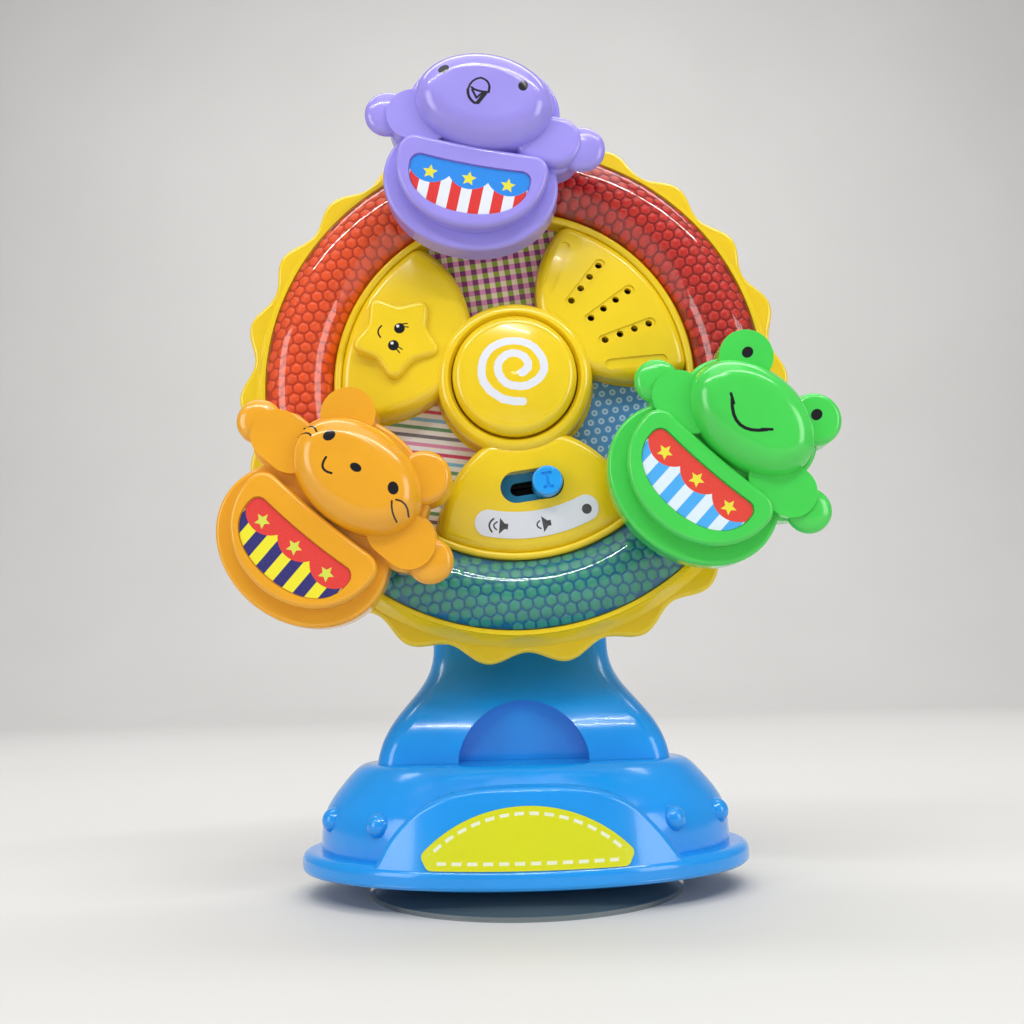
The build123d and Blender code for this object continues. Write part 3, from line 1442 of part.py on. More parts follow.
# ---------------------------------------------------------------- gondola posts
with BuildPart() as pivot_washers:
    for animal in GONDOLAS:
        with BuildSketch(gondola_face(animal, POST_TOP)):
            Circle(BEARING_R)
            Circle(POST_SCREW_R + FIT, mode=Mode.SUBTRACT)
        extrude(amount=WASHER_H)
save(pivot_washers.part, "pivot_washers")

with BuildPart() as pivot_screws:
    for animal in GONDOLAS:
        with BuildSketch(gondola_face(animal, POST_TOP + WASHER_H)):
            Circle(2.4)
        extrude(amount=1.4)
        with BuildSketch(gondola_face(animal, POST_TOP + WASHER_H)):
            Circle(POST_SCREW_R)
        extrude(amount=-POST_SCREW_L)
save(pivot_screws.part, "pivot_screws")
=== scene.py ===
from math import atan2, cos, degrees, hypot, pi, radians, sin, sqrt

import bmesh
import bpy
from mathutils import Matrix, Vector


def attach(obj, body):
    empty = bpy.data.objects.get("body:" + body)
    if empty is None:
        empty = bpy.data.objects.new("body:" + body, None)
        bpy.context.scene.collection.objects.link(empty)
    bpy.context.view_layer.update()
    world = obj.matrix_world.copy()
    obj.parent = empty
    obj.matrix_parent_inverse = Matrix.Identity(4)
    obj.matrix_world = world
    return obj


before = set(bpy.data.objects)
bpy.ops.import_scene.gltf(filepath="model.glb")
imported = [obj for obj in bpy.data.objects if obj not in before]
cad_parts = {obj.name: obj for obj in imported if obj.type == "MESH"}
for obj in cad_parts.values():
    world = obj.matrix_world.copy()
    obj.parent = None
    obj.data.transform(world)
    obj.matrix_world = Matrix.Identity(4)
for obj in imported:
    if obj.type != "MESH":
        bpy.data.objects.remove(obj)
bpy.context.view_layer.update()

# --------------------------------------------------------- places and sizes, as the frame has them
MM = 0.001
HUB = Vector((0.0, -0.017, 0.1485))     # wheel axis, at the front face of the rim
WHEEL_TURN = 7.5                        # degrees, counter-clockwise from the front
BRIDGES = {"bird": 90, "cat": 210, "frog": 330}
TILT = {"bird": 12.5, "cat": 40.5, "frog": 43.5}
PIVOT_R = 65.0


def spoke(turn):
    """Direction out from the hub, this many degrees on from the wheel's own zero."""
    a = radians(turn + WHEEL_TURN)
    return Vector((cos(a), 0, sin(a)))


PIVOT = {name: HUB + spoke(turn) * PIVOT_R * MM for name, turn in BRIDGES.items()}

# Prints keep to what stands at least this far in front of the rim, in mm.
POD_PRINT_W = 8.0
BUTTON_PRINT_W = 10.0
FACE_PRINT_W = 24.2
BIRD_PRINT_W = 26.0

LENS_IN_R = 54.0
LENS_OUT_R = 74.0
LENS_GAP = 4.8            # degrees from a bridge's middle to the lens
LENS_TOP = 13.2           # crest of the lens, in front of the rim
LENS_SAG = 0.057
LENS_LEAN = 0.05

BLACK = (0.006, 0.006, 0.009)
WHITE = (0.80, 0.82, 0.84)
YELLOW = (0.87, 0.62, 0.012)
BLUE = (0.008, 0.30, 0.82)
LILAC = (0.34, 0.29, 0.82)
AMBER = (0.83, 0.38, 0.015)
GREEN = (0.060, 0.64, 0.085)
RED = (0.72, 0.015, 0.012)


# ------------------------------------------------------------------ sums that vary over a surface
class Num:
    """A number in a shader. Arithmetic on it adds Math nodes to its material."""

    def __init__(self, tree, socket):
        self.tree = tree
        self.socket = socket

    def op(self, kind, *others, clamp=False):
        node = self.tree.nodes.new("ShaderNodeMath")
        node.operation = kind
        node.use_clamp = clamp
        for slot, value in enumerate((self,) + others):
            if isinstance(value, Num):
                self.tree.links.new(value.socket, node.inputs[slot])
            else:
                node.inputs[slot].default_value = value
        return Num(self.tree, node.outputs[0])

    def __add__(self, other):
        return self.op("ADD", other)

    def __sub__(self, other):
        return self.op("SUBTRACT", other)

    def __mul__(self, other):
        return self.op("MULTIPLY", other)

    def __truediv__(self, other):
        return self.op("DIVIDE", other)

    def both(self, other):
        return self.op("MINIMUM", other)

    def either(self, other):
        return self.op("MAXIMUM", other)

    def absolute(self):
        return self.op("ABSOLUTE")

    def fract(self):
        return self.op("FRACT")

    def floor(self):
        return self.op("FLOOR")

    def root(self):
        return self.op("MAXIMUM", 0.0).op("SQRT")

    def inside(self, soft=0.05):
        """1 where the number is above 0, 0 where it is below, with an edge this soft."""
        return (self / (2 * soft)).op("ADD", 0.5, clamp=True)


def any_of(first, *rest):
    for value in rest:
        first = first.either(value)
    return first


def turned(u, v, place, angle=0.0):
    """Coordinates from another origin, in axes turned counter-clockwise."""
    c, s = cos(radians(angle)), sin(radians(angle))
    du = u - place[0]
    dv = v - place[1]
    return du * c + dv * s, dv * c - du * s


def disc(u, v, place, a, b=None, turn=0.0):
    """Signed depth, in mm, inside an ellipse of half axes a and b."""
    b = b or a
    along, across = turned(u, v, place, turn)
    along = along / a
    across = across / b
    return ((along * along + across * across).root() * -1.0 + 1.0) * min(a, b)


def line(u, v, start, end, width):
    """Signed depth inside a round-ended stroke."""
    run = (end[0] - start[0], end[1] - start[1])
    length = run[0] ** 2 + run[1] ** 2
    du = u - start[0]
    dv = v - start[1]
    along = ((du * run[0] + dv * run[1]) / length).op("MAXIMUM", 0.0).op("MINIMUM", 1.0)
    du = du - along * run[0]
    dv = dv - along * run[1]
    return (du * du + dv * dv).root() * -1.0 + width / 2


def curve(u, v, start, middle, end, width, steps=6):
    """Signed depth inside a stroke that bends through a middle point, as short runs."""
    control = [2 * middle[k] - (start[k] + end[k]) / 2 for k in (0, 1)]
    points = []
    for step in range(steps + 1):
        t = step / steps
        points.append([
            (1 - t) ** 2 * start[k] + 2 * t * (1 - t) * control[k] + t * t * end[k] for k in (0, 1)
        ])
    return any_of(*[line(u, v, points[k], points[k + 1], width) for k in range(steps)])


def star(u, v, place, radius, turn=90.0):
    """Signed depth inside a five-pointed star."""
    du = u - place[0]
    dv = v - place[1]
    angle = dv.op("ARCTAN2", du) * (180 / pi) - (turn - 36.0 - 720.0)
    fold = ((angle / 72.0).fract() * 72.0 - 36.0).absolute() * (pi / 180)
    reach = (du * du + dv * dv).root()
    x = reach * fold.op("COSINE")
    y = reach * fold.op("SINE")
    # The edge runs from the tip, at fold 0, to the valley, at fold 36 degrees.
    tip = (radius, 0.0)
    valley = (0.47 * radius * cos(radians(36)), 0.47 * radius * sin(radians(36)))
    edge = (valley[0] - tip[0], valley[1] - tip[1])
    size = hypot(*edge)
    return (x - tip[0]) * (-edge[1] / size) + (y - tip[1]) * (edge[0] / size)


# ------------------------------------------------------------------ materials
def blank(name):
    material = bpy.data.materials.new(name)
    material.use_nodes = True
    tree = material.node_tree
    return material, tree, tree.nodes["Principled BSDF"]


def place_of(tree, origin, turn=0.0):
    """Position on the part in mm, seen from the front: across, up and out, from an origin."""
    where = tree.nodes.new("ShaderNodeTexCoord")
    parts = tree.nodes.new("ShaderNodeSeparateXYZ")
    tree.links.new(where.outputs["Object"], parts.inputs[0])
    x = (Num(tree, parts.outputs[0]) - origin[0]) * 1000.0
    y = (Num(tree, parts.outputs[1]) - origin[1]) * -1000.0
    z = (Num(tree, parts.outputs[2]) - origin[2]) * 1000.0
    u, v = turned(x, z, (0.0, 0.0), turn)
    return u, v, y


def noise(tree, scale, detail=2.0, stretch=(1, 1, 1)):
    """Smooth noise about 0.5; scale is in waves a metre."""
    where = tree.nodes.new("ShaderNodeTexCoord")
    mapping = tree.nodes.new("ShaderNodeMapping")
    mapping.inputs["Scale"].default_value = stretch
    texture = tree.nodes.new("ShaderNodeTexNoise")
    texture.inputs["Scale"].default_value = scale
    texture.inputs["Detail"].default_value = detail
    tree.links.new(where.outputs["Object"], mapping.inputs["Vector"])
    tree.links.new(mapping.outputs[0], texture.inputs["Vector"])
    return Num(tree, texture.outputs["Fac"])


def mixed(tree, mask, below, above):
    """Colour that is below where the mask is 0 and above where it is 1."""
    node = tree.nodes.new("ShaderNodeMix")
    node.data_type = "RGBA"
    tree.links.new(mask.socket, node.inputs["Factor"])
    for key, value in (("A", below), ("B", above)):
        socket = [s for s in node.inputs if s.name == key and s.type == "RGBA"][0]
        if isinstance(value, tuple):
            socket.default_value = (*value, 1)
        else:
            tree.links.new(value, socket)
    return [s for s in node.outputs if s.type == "RGBA"][0]


def shade(colour, factor):
    return tuple(min(1.0, channel * factor) for channel in colour)


def ripples(tree, shader, height=0.00002, scale=140.0):
    """Faint waviness that moulded plastic has, so its reflections are not ruled lines."""
    bump = tree.nodes.new("ShaderNodeBump")
    bump.inputs["Strength"].default_value = 1.0
    bump.inputs["Distance"].default_value = height
    tree.links.new(noise(tree, scale, 1.0).socket, bump.inputs["Height"])
    tree.links.new(bump.outputs[0], shader.inputs["Normal"])


def plastic(name, colour, prints=None, roughness=0.16, glow=0.10):
    """Glossy moulded plastic. prints(tree, colour socket) may lay printed marks over its colour."""
    material, tree, shader = blank(name)
    cloud = (noise(tree, 45.0, 3.0) - 0.3).op("MULTIPLY", 2.0, clamp=True)
    base = mixed(tree, cloud, shade(colour, 0.93), shade(colour, 1.05))
    if prints:
        base = prints(tree, base)
    tree.links.new(base, shader.inputs["Base Color"])
    smear = noise(tree, 160.0, 3.0) * 0.14 + (roughness - 0.05)
    tree.links.new(smear.socket, shader.inputs["Roughness"])
    shader.inputs["IOR"].default_value = 1.5
    shader.inputs["Coat Weight"].default_value = 0.25
    shader.inputs["Coat Roughness"].default_value = 0.04
    shader.inputs["Subsurface Weight"].default_value = glow
    shader.inputs["Subsurface Radius"].default_value = (0.004, 0.003, 0.002)
    shader.inputs["Subsurface Scale"].default_value = 1.0
    ripples(tree, shader)
    return material


def matt(name, colour, roughness=0.5):
    material, tree, shader = blank(name)
    cloud = noise(tree, 300.0, 4.0)
    base = mixed(tree, cloud, shade(colour, 0.85), shade(colour, 1.1))
    tree.links.new(base, shader.inputs["Base Color"])
    grain = noise(tree, 900.0, 2.0) * 0.2 + (roughness - 0.1)
    tree.links.new(grain.socket, shader.inputs["Roughness"])
    ripples(tree, shader, 0.00003, 1200.0)
    return material


def metal(name, colour):
    material, tree, shader = blank(name)
    brushed = noise(tree, 500.0, 3.0, (1, 14, 14))
    base = mixed(tree, brushed, shade(colour, 0.8), shade(colour, 1.1))
    tree.links.new(base, shader.inputs["Base Color"])
    shader.inputs["Metallic"].default_value = 1.0
    tree.links.new((brushed * 0.25 + 0.2).socket, shader.inputs["Roughness"])
    return material


def clear(name, colour, alpha, roughness=0.05):
    """Tinted see-through plastic with a hard gloss."""
    material, tree, shader = blank(name)
    cloud = noise(tree, 90.0, 2.0)
    base = mixed(tree, cloud, shade(colour, 0.92), shade(colour, 1.05))
    tree.links.new(base, shader.inputs["Base Color"])
    shader.inputs["Alpha"].default_value = alpha
    shader.inputs["Roughness"].default_value = roughness
    shader.inputs["IOR"].default_value = 1.5
    shader.inputs["Specular IOR Level"].default_value = 1.0
    shader.inputs["Coat Weight"].default_value = 1.0
    shader.inputs["Coat IOR"].default_value = 2.0
    shader.inputs["Coat Roughness"].default_value = 0.03
    ripples(tree, shader, 0.00001, 90.0)
    return material


def dress(node, material):
    """The CAD node shows this material."""
    for material_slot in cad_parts[node].material_slots:
        material_slot.material = material


# ------------------------------------------------------------------ printed marks
def inked(tree, base, depth, colour=BLACK):
    return mixed(tree, depth.inside(0.06), base, colour)


def above(depth, out, low):
    """Keeps a print on what stands in front of this height."""
    return depth.both((out - low) * 10.0)


def star_face(tree, base):
    """Two round eyes with lashes and a small smile, on the moulded star."""
    u, v, out = place_of(tree, HUB)
    ink = any_of(
        disc(u, v, (-33.6, 15.1), 1.6),
        disc(u, v, (-35.4, 9.9), 1.6),
        line(u, v, (-32.8, 16.4), (-31.3, 16.5), 0.4),
        line(u, v, (-32.6, 15.6), (-31.0, 15.4), 0.35),
        line(u, v, (-34.6, 8.8), (-33.6, 7.6), 0.4),
        line(u, v, (-34.0, 9.4), (-32.8, 8.6), 0.35),
        curve(u, v, (-38.9, 16.0), (-39.9, 14.3), (-39.2, 12.5), 0.5),
    )
    base = inked(tree, base, above(ink, out, POD_PRINT_W))
    glints = any_of(disc(u, v, (-34.1, 15.8), 0.45), disc(u, v, (-35.8, 10.6), 0.45))
    return inked(tree, base, above(glints, out, POD_PRINT_W), WHITE)


SPIRAL_STROKE = 2.3
SPIRAL = [                # middle of the stroke, from its inner end outward
    (2.2, -0.45), (3.8, 0.9), (3.96, 2.6), (2.9, 4.4), (1.3, 5.3), (-0.5, 5.65),
    (-2.3, 5.1), (-3.7, 4.0), (-4.6, 2.7), (-4.85, 1.2), (-4.6, -0.6), (-3.7, -2.3),
    (-2.5, -3.5), (-0.95, -4.2), (1.9, -4.55), (3.8, -4.2), (5.5, -3.3), (6.9, -2.3),
    (7.8, -1.1), (8.5, 0.3), (8.6, 1.9), (8.2, 3.8), (7.3, 5.4), (6.0, 7.2),
    (4.3, 8.4), (2.2, 9.2), (0.0, 9.4), (-2.4, 9.3), (-4.55, 8.6), (-6.4, 7.6),
    (-7.9, 6.1), (-9.0, 4.1), (-9.5, 1.9), (-9.6, -0.5), (-9.1, -2.8), (-7.2, -5.5),
    (-3.8, -8.0), (-0.5, -8.8), (2.15, -8.9),
]


def spiral(tree, base):
    """Pale spiral printed on the centre button."""
    u, v, out = place_of(tree, HUB)
    stroke = disc(u, v, (2.2, -0.45), 1.45, 1.15)
    for start, end in zip(SPIRAL, SPIRAL[1:]):
        stroke = stroke.either(line(u, v, start, end, SPIRAL_STROKE))
    return inked(tree, base, above(stroke, out, BUTTON_PRINT_W), (0.76, 0.79, 0.86))


def bird_face(tree, base):
    u, v, out = place_of(tree, PIVOT["bird"], -TILT["bird"])
    ink = any_of(
        disc(u, v, (-14.2, 18.5), 1.7, 1.3, 45), disc(u, v, (9.3, 17.6), 1.4, 1.6),
        curve(u, v, (-6.0, 13.4), (-5.2, 16.2), (-3.1, 17.7), 0.62, 4),
        curve(u, v, (-3.1, 17.7), (-1.1, 17.0), (-0.1, 15.4), 0.62, 4),
        line(u, v, (-0.1, 15.4), (0.0, 13.8), 0.72),
        curve(u, v, (-6.0, 13.4), (-5.2, 11.2), (-3.4, 9.7), 0.8, 4),
        line(u, v, (-3.5, 9.7), (-2.5, 9.8), 0.8), line(u, v, (-2.4, 10.0), (-0.9, 13.2), 1.2),
        curve(u, v, (-5.1, 14.3), (-3.2, 13.6), (0.0, 13.7), 0.65, 4),
        line(u, v, (-4.8, 13.6), (-3.1, 11.3), 0.65), line(u, v, (-3.1, 11.3), (-1.7, 13.2), 0.65),
    )
    return inked(tree, base, above(ink, out, BIRD_PRINT_W))


def cat_face(tree, base):
    u, v, out = place_of(tree, PIVOT["cat"], -TILT["cat"])
    ink = any_of(
        disc(u, v, (-10.7, 14.1), 1.75, 1.4, 70), disc(u, v, (12.0, 13.9), 1.45, 1.8, 50),
        disc(u, v, (0.6, 11.9), 1.65, 1.15, 10),
        curve(u, v, (-7.4, 9.0), (-6.2, 6.3), (-3.4, 6.6), 0.65),
        curve(u, v, (-19.0, 11.6), (-16.6, 13.2), (-14.2, 12.8), 0.5, 4),
        curve(u, v, (-18.6, 8.8), (-16.6, 10.8), (-14.6, 11.0), 0.5, 4),
        curve(u, v, (14.6, 12.0), (17.2, 12.6), (19.6, 10.8), 0.5, 4),
        curve(u, v, (14.0, 11.0), (15.8, 9.0), (18.2, 7.6), 0.5, 4),
    )
    return inked(tree, base, above(ink, out, FACE_PRINT_W))


def frog_face(tree, base):
    u, v, out = place_of(tree, PIVOT["frog"], -TILT["frog"])
    ink = any_of(
        disc(u, v, (-13.9, 21.9), 1.5, 1.75), disc(u, v, (11.8, 20.9), 1.5, 1.75),
        curve(u, v, (-8.3, 6.5), (-2.1, 2.4), (4.2, 6.2), 0.95, 8),
        line(u, v, (-9.5, 7.4), (-7.2, 5.9), 0.8), line(u, v, (3.1, 5.4), (5.2, 7.2), 0.8),
    )
    return inked(tree, base, above(ink, out, FACE_PRINT_W))


def circus_sticker(name, centre, curtain, stripe, pale, gold):
    """Scalloped curtain with a star in each scallop, over upright stripes."""
    material, tree, shader = blank(f"{name}_print")
    u, v, _ = place_of(tree, PIVOT[name], -TILT[name])
    across = u - centre[0]
    down = (v - centre[1]) * -1.0
    stripe_w = 3.1
    phase = ((across / (2 * stripe_w) + 20.0).fract() - 0.5).absolute()
    bands = (phase - 0.25) * (2 * stripe_w)
    base = mixed(tree, (bands * -1.0).inside(0.05), pale, stripe)
    swag_w, swag_r = 11.4, 7.0
    along = ((across / swag_w + 20.5).fract() - 0.5) * swag_w
    hem = (along * along * -1.0 + swag_r ** 2).root() + 0.6
    base = mixed(tree, (hem - down).inside(0.05), base, curtain)
    stars = star(along, down * -1.0, (0.0, -4.4), 2.25)
    base = mixed(tree, stars.inside(0.05), base, gold)
    faded = mixed(tree, noise(tree, 2500.0, 1.0) * 0.10, base, (0.5, 0.5, 0.5))
    tree.links.new(faded, shader.inputs["Base Color"])
    shader.inputs["Roughness"].default_value = 0.2
    shader.inputs["Coat Weight"].default_value = 0.15
    shader.inputs["Coat Roughness"].default_value = 0.08
    return material


def paper(name, paint):
    """Printed sticker. paint(tree, across, up) gives its colour socket."""
    material, tree, shader = blank(name)
    u, v, _ = place_of(tree, HUB, WHEEL_TURN)
    colour = paint(tree, u, v)
    faded = mixed(tree, noise(tree, 700.0, 3.0) * 0.14, colour, (0.55, 0.55, 0.55))
    tree.links.new(faded, shader.inputs["Base Color"])
    shader.inputs["Roughness"].default_value = 0.25
    shader.inputs["Coat Weight"].default_value = 0.15
    shader.inputs["Coat Roughness"].default_value = 0.1
    return material


def gingham(tree, u, v):
    """Woven checks of purple, olive, pink and beige."""
    pitch = 3.4
    column = (((u / pitch + 40.0).fract() - 0.5).absolute() - 0.25) * pitch
    row = (((v / pitch + 40.0).fract() - 0.5).absolute() - 0.25) * pitch
    light = mixed(tree, column.inside(0.06), (0.86, 0.74, 0.52), (0.27, 0.38, 0.018))
    dark = mixed(tree, column.inside(0.06), (0.76, 0.28, 0.52), (0.20, 0.020, 0.14))
    return mixed(tree, row.inside(0.06), light, dark)


def dots(tree, u, v):
    """Pale ringed dots on blue, in staggered rows."""
    pitch = 3.2
    rise = pitch * 0.87
    row = (v / rise + 40.0).floor()
    shift = (row * 0.5).fract() * pitch
    du = (((u + shift) / pitch + 40.0).fract() - 0.5) * pitch
    dv = ((v / rise + 40.0).fract() - 0.5) * rise
    reach = (du * du + dv * dv).root()
    ring = (reach * -1.0 + 0.95).both(reach - 0.35)
    return mixed(tree, ring.inside(0.12), (0.045, 0.24, 0.56), (0.42, 0.60, 0.78))


STRIPES = [
    (0.60, 0.03, 0.10), (0.72, 0.25, 0.42), (0.17, 0.15, 0.17),
    (0.10, 0.30, 0.12), (0.20, 0.50, 0.75),
]


def stripes(tree, u, v):
    """Thin stripes in five colours on white."""
    across, along = turned(u, v, (0.0, 0.0), -15.5)
    pitch = 2.55
    place = (along / (pitch * len(STRIPES)) + 20.0).fract() * (pitch * len(STRIPES))
    base = (0.84, 0.84, 0.82)
    for number, colour in enumerate(STRIPES):
        band = (place - (number + 0.5) * pitch).absolute() * -1.0 + 0.55
        base = mixed(tree, band.inside(0.08), base, colour)
    return base


def volume_marks(tree, u, v):
    """White band with a dot for off and two loudspeakers for low and high."""
    def spot(angle, radius=44.4):
        return (radius * cos(radians(angle)), radius * sin(radians(angle)))

    ink = disc(u, v, spot(-70.8), 1.45)
    for angle, waves in ((-87.3, 1), (-103.5, 2)):
        x, y = turned(u, v, spot(angle), angle + 90)
        magnet = (x - 1.0).absolute() * -1.0 + 0.65
        magnet = magnet.both(y.absolute() * -1.0 + 0.8)
        horn = (x + 0.1).absolute() * -1.0 + 0.75
        horn = horn.both(y.absolute() * -1.0 - x * 1.03 + 1.47)
        near_wave = curve(x, y, (-1.6, 1.1), (-2.5, 0.0), (-1.6, -1.1), 0.45, 5)
        ink = any_of(ink, magnet, horn, near_wave)
        if waves == 2:
            ink = ink.either(curve(x, y, (-2.7, 1.9), (-3.8, 0.1), (-2.9, -1.8), 0.55, 5))
    return mixed(tree, ink.inside(0.06), (0.72, 0.75, 0.82), BLACK)


def name_plate():
    """Blank yellow-green plate with a printed row of stitches round it."""
    material, tree, shader = blank("plate_print")
    x, z, _ = place_of(tree, (0, 0, 0))
    middle, big = -10.7, 38.7     # centre height and radius of the crown
    low, half = 12.2, 28.2        # height of the foot, half the width
    inset, thick, pitch, half_stitch = 1.8, 0.42, 4.1, 1.3

    def stitched(row, along):
        return row.both(((along / pitch + 20.0).fract() - 0.5).absolute() * -pitch + half_stitch)

    reach = (x * x + (z - middle) * (z - middle)).root()
    upper = (reach - (big - inset)).absolute() * -1.0 + thick
    upper = stitched(upper.both(z - (low + inset + 2.2)), x.op("ARCTAN2", z - middle) * big)
    lower = (z - (low + inset)).absolute() * -1.0 + thick
    lower = stitched(lower.both(x.absolute() * -1.0 + (half - 4.6)), x)
    base = mixed(tree, upper.either(lower).inside(0.08), (0.66, 0.68, 0.005), (0.80, 0.83, 0.62))
    base = mixed(tree, noise(tree, 600.0, 3.0) * 0.12, base, (0.42, 0.46, 0.02))
    tree.links.new(base, shader.inputs["Base Color"])
    shader.inputs["Roughness"].default_value = 0.25
    shader.inputs["Coat Weight"].default_value = 0.5
    return material


# ------------------------------------------------------------------ carried-over CAD nodes
steel = metal("screw_steel", (0.60, 0.61, 0.63))
blue = plastic("blue_plastic", BLUE)
yellow = plastic("yellow_plastic", YELLOW)
knob_blue = plastic("knob_blue", (0.012, 0.35, 0.90))
black = matt("black_plastic", (0.02, 0.02, 0.022))
board = matt("board_green", (0.02, 0.16, 0.06))

CARRIED = {
    "suction_cup": clear("cup_vinyl", (0.10, 0.14, 0.155), 0.82, 0.2),
    "base_plate": matt("base_blue", (0.01, 0.24, 0.66)),
    "base_shell": blue,
    "name_plate": name_plate(),
    "pedestal_front": blue,
    "pedestal_rear": blue,
    "wheel_front_shell": plastic("yellow_star_face", YELLOW, star_face),
    "wheel_rear_shell": yellow,
    "battery_door": yellow,
    "hub_bush": matt("nylon", (0.70, 0.69, 0.62)),
    "lens_orange": clear("lens_orange", (0.88, 0.09, 0.008), 0.26),
    "lens_red": clear("lens_red", (0.62, 0.02, 0.008), 0.26),
    "lens_blue": clear("lens_blue", (0.02, 0.22, 0.26), 0.24),
    "lamp_reflector": plastic("reflector_yellow", YELLOW),
    "lamp_board": board,
    "lamps": clear("lamp_clear", (0.9, 0.9, 0.85), 0.5),
    "circuit_board": board,
    "button_switch": black,
    "slide_switch": black,
    "switch_slider": plastic("slider_blue", (0.012, 0.20, 0.42)),
    "switch_tray": plastic("tray_blue", (0.012, 0.24, 0.50)),
    "speaker": black,
    "sticker_top": paper("gingham_print", gingham),
    "sticker_right": paper("dot_print", dots),
    "sticker_left": paper("stripe_print", stripes),
    "volume_label": paper("volume_print", volume_marks),
    "batteries": matt("cell_wrap", (0.10, 0.12, 0.14), 0.3),
    "battery_contacts": metal("contact", (0.72, 0.68, 0.55)),
    "centre_button": plastic("button_plastic", YELLOW, spiral),
    "volume_knob": knob_blue,
    "bird_front": plastic("lilac_face", LILAC, bird_face),
    "cat_front": plastic("amber_face", AMBER, cat_face),
    "frog_front": plastic("green_face", GREEN, frog_face),
    "bird_rear": plastic("lilac_plastic", LILAC),
    "cat_rear": plastic("amber_plastic", AMBER),
    "frog_rear": plastic("green_plastic", GREEN),
    "bird_sticker": circus_sticker(
        "bird", (-1.0, -6.4), (0.0, 0.24, 0.80), RED, (0.78, 0.82, 0.88), (0.80, 0.74, 0.03),
    ),
    "cat_sticker": circus_sticker(
        "cat", (0.7, -10.5), (0.75, 0.03, 0.02), (0.012, 0.008, 0.16), (0.85, 0.78, 0.01),
        (0.66, 0.72, 0.06),
    ),
    "frog_sticker": circus_sticker(
        "frog", (-1.0, -11.1), (0.75, 0.04, 0.02), (0.05, 0.40, 0.88), (0.72, 0.84, 0.92),
        (0.82, 0.74, 0.03),
    ),
}
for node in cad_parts:
    dress(node, CARRIED.get(node, steel))


# ------------------------------------------------------------------ pieces built here
def shell(mesh, name, material):
    """Object of a mesh that faces the front, smooth all over."""
    for face in mesh.faces:
        face.smooth = True
    mesh.normal_update()
    for face in mesh.faces:
        if face.normal.y > 0:
            face.normal_flip()
    data = bpy.data.meshes.new(name)
    mesh.to_mesh(data)
    mesh.free()
    data.materials.append(material)
    piece = bpy.data.objects.new(name, data)
    bpy.context.collection.objects.link(piece)
    return piece


# ------------------------------------------------------------------ honeycomb under the lenses
HEX_PITCH = 3.5
HEX_R = HEX_PITCH / sqrt(3)
LENS_MIDDLE = (LENS_IN_R + LENS_OUT_R) / 2
CREST_SINK = 0.55         # how far the sheet lies inside the lens, at a cell's crest
BED_SINK = 1.25           # and at the plain bed the cells stand on
CELL_RINGS = [(0.5, 0.62), (0.80, 0.85), (0.97, 1.35)]    # share of a cell's size, sink


def lens_height(radius):
    """Outside of a lens at this radius, in front of the rim, in mm."""
    d = radius - LENS_MIDDLE
    return LENS_TOP - LENS_SAG * d * d + LENS_LEAN * d


def cell_material(name, crease_shade, cell):
    """Tinted cells, with painted shade: a darker colour laid down in the creases between them."""
    material, tree, shader = blank(name)
    u, v, out = place_of(tree, HUB)
    d = (u * u + v * v).root() - LENS_MIDDLE
    cover = d * d * -LENS_SAG + d * LENS_LEAN + LENS_TOP
    # Painted shade: where the sheet lies deep under the lens, in the creases and on the bed, it
    # takes the darker crease colour.
    sunk_shade = ((cover - out) - 0.72).op("MULTIPLY", 2.2, clamp=True)
    patch = (noise(tree, 260.0, 2.0) - 0.35).op("MULTIPLY", 1.6, clamp=True)
    cells = mixed(tree, patch, cell, shade(cell, 0.75))
    tree.links.new(mixed(tree, sunk_shade, cells, crease_shade), shader.inputs["Base Color"])
    shader.inputs["Roughness"].default_value = 0.3
    return material


def honeycomb(name, turn, crease_shade, cell):
    """Sheet of small puffed hexagons that shows through a lens."""
    mesh = bmesh.new()
    low, high = turn + LENS_GAP + 0.35, turn + 120 - LENS_GAP - 0.35
    inner, outer = LENS_IN_R + 0.25, LENS_OUT_R - 0.25

    def put(u, v, sink):
        r = min(max(hypot(u, v), inner), outer)
        a = atan2(v, u) + radians(WHEEL_TURN)
        height = lens_height(r) - sink
        return mesh.verts.new((
            HUB.x + r * cos(a) * MM, HUB.y - height * MM, HUB.z + r * sin(a) * MM,
        ))

    rows = int(LENS_OUT_R / (HEX_PITCH * 0.866)) + 1
    columns = int(LENS_OUT_R / HEX_PITCH) + 1
    for row in range(-rows, rows + 1):
        for column in range(-columns, columns + 1):
            u = (column + 0.5 * (row % 2)) * HEX_PITCH
            v = row * HEX_PITCH * sqrt(3) / 2
            r = hypot(u, v)
            a = (degrees(atan2(v, u)) - low) % 360
            if not inner + 0.2 < r < outer - 0.2 or a > high - low:
                continue
            crest = put(u, v, CREST_SINK)
            rings = []
            for size, sink in CELL_RINGS:
                rings.append([
                    put(
                        u + size * HEX_R * sin(radians(60 * k)),
                        v + size * HEX_R * cos(radians(60 * k)), sink,
                    )
                    for k in range(6)
                ])
            for k in range(6):
                n = (k + 1) % 6
                mesh.faces.new((crest, rings[0][n], rings[0][k]))
                for near, far in ((0, 1), (1, 2)):
                    mesh.faces.new((rings[near][k], rings[near][n], rings[far][n], rings[far][k]))
    steps, bands = 48, 10
    radii = [inner + (outer - inner) * m / bands for m in range(bands + 1)]
    strips = []
    for k in range(steps + 1):
        a = radians(low - 0.4 + (high - low + 0.8) * k / steps)
        strips.append([put(r * cos(a), r * sin(a), BED_SINK) for r in radii])
    for k in range(steps):
        for m in range(bands):
            mesh.faces.new((strips[k][m], strips[k + 1][m], strips[k + 1][m + 1], strips[k][m + 1]))
    piece = shell(mesh, name, cell_material(name, crease_shade, cell))
    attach(piece, "wheel")
    return piece


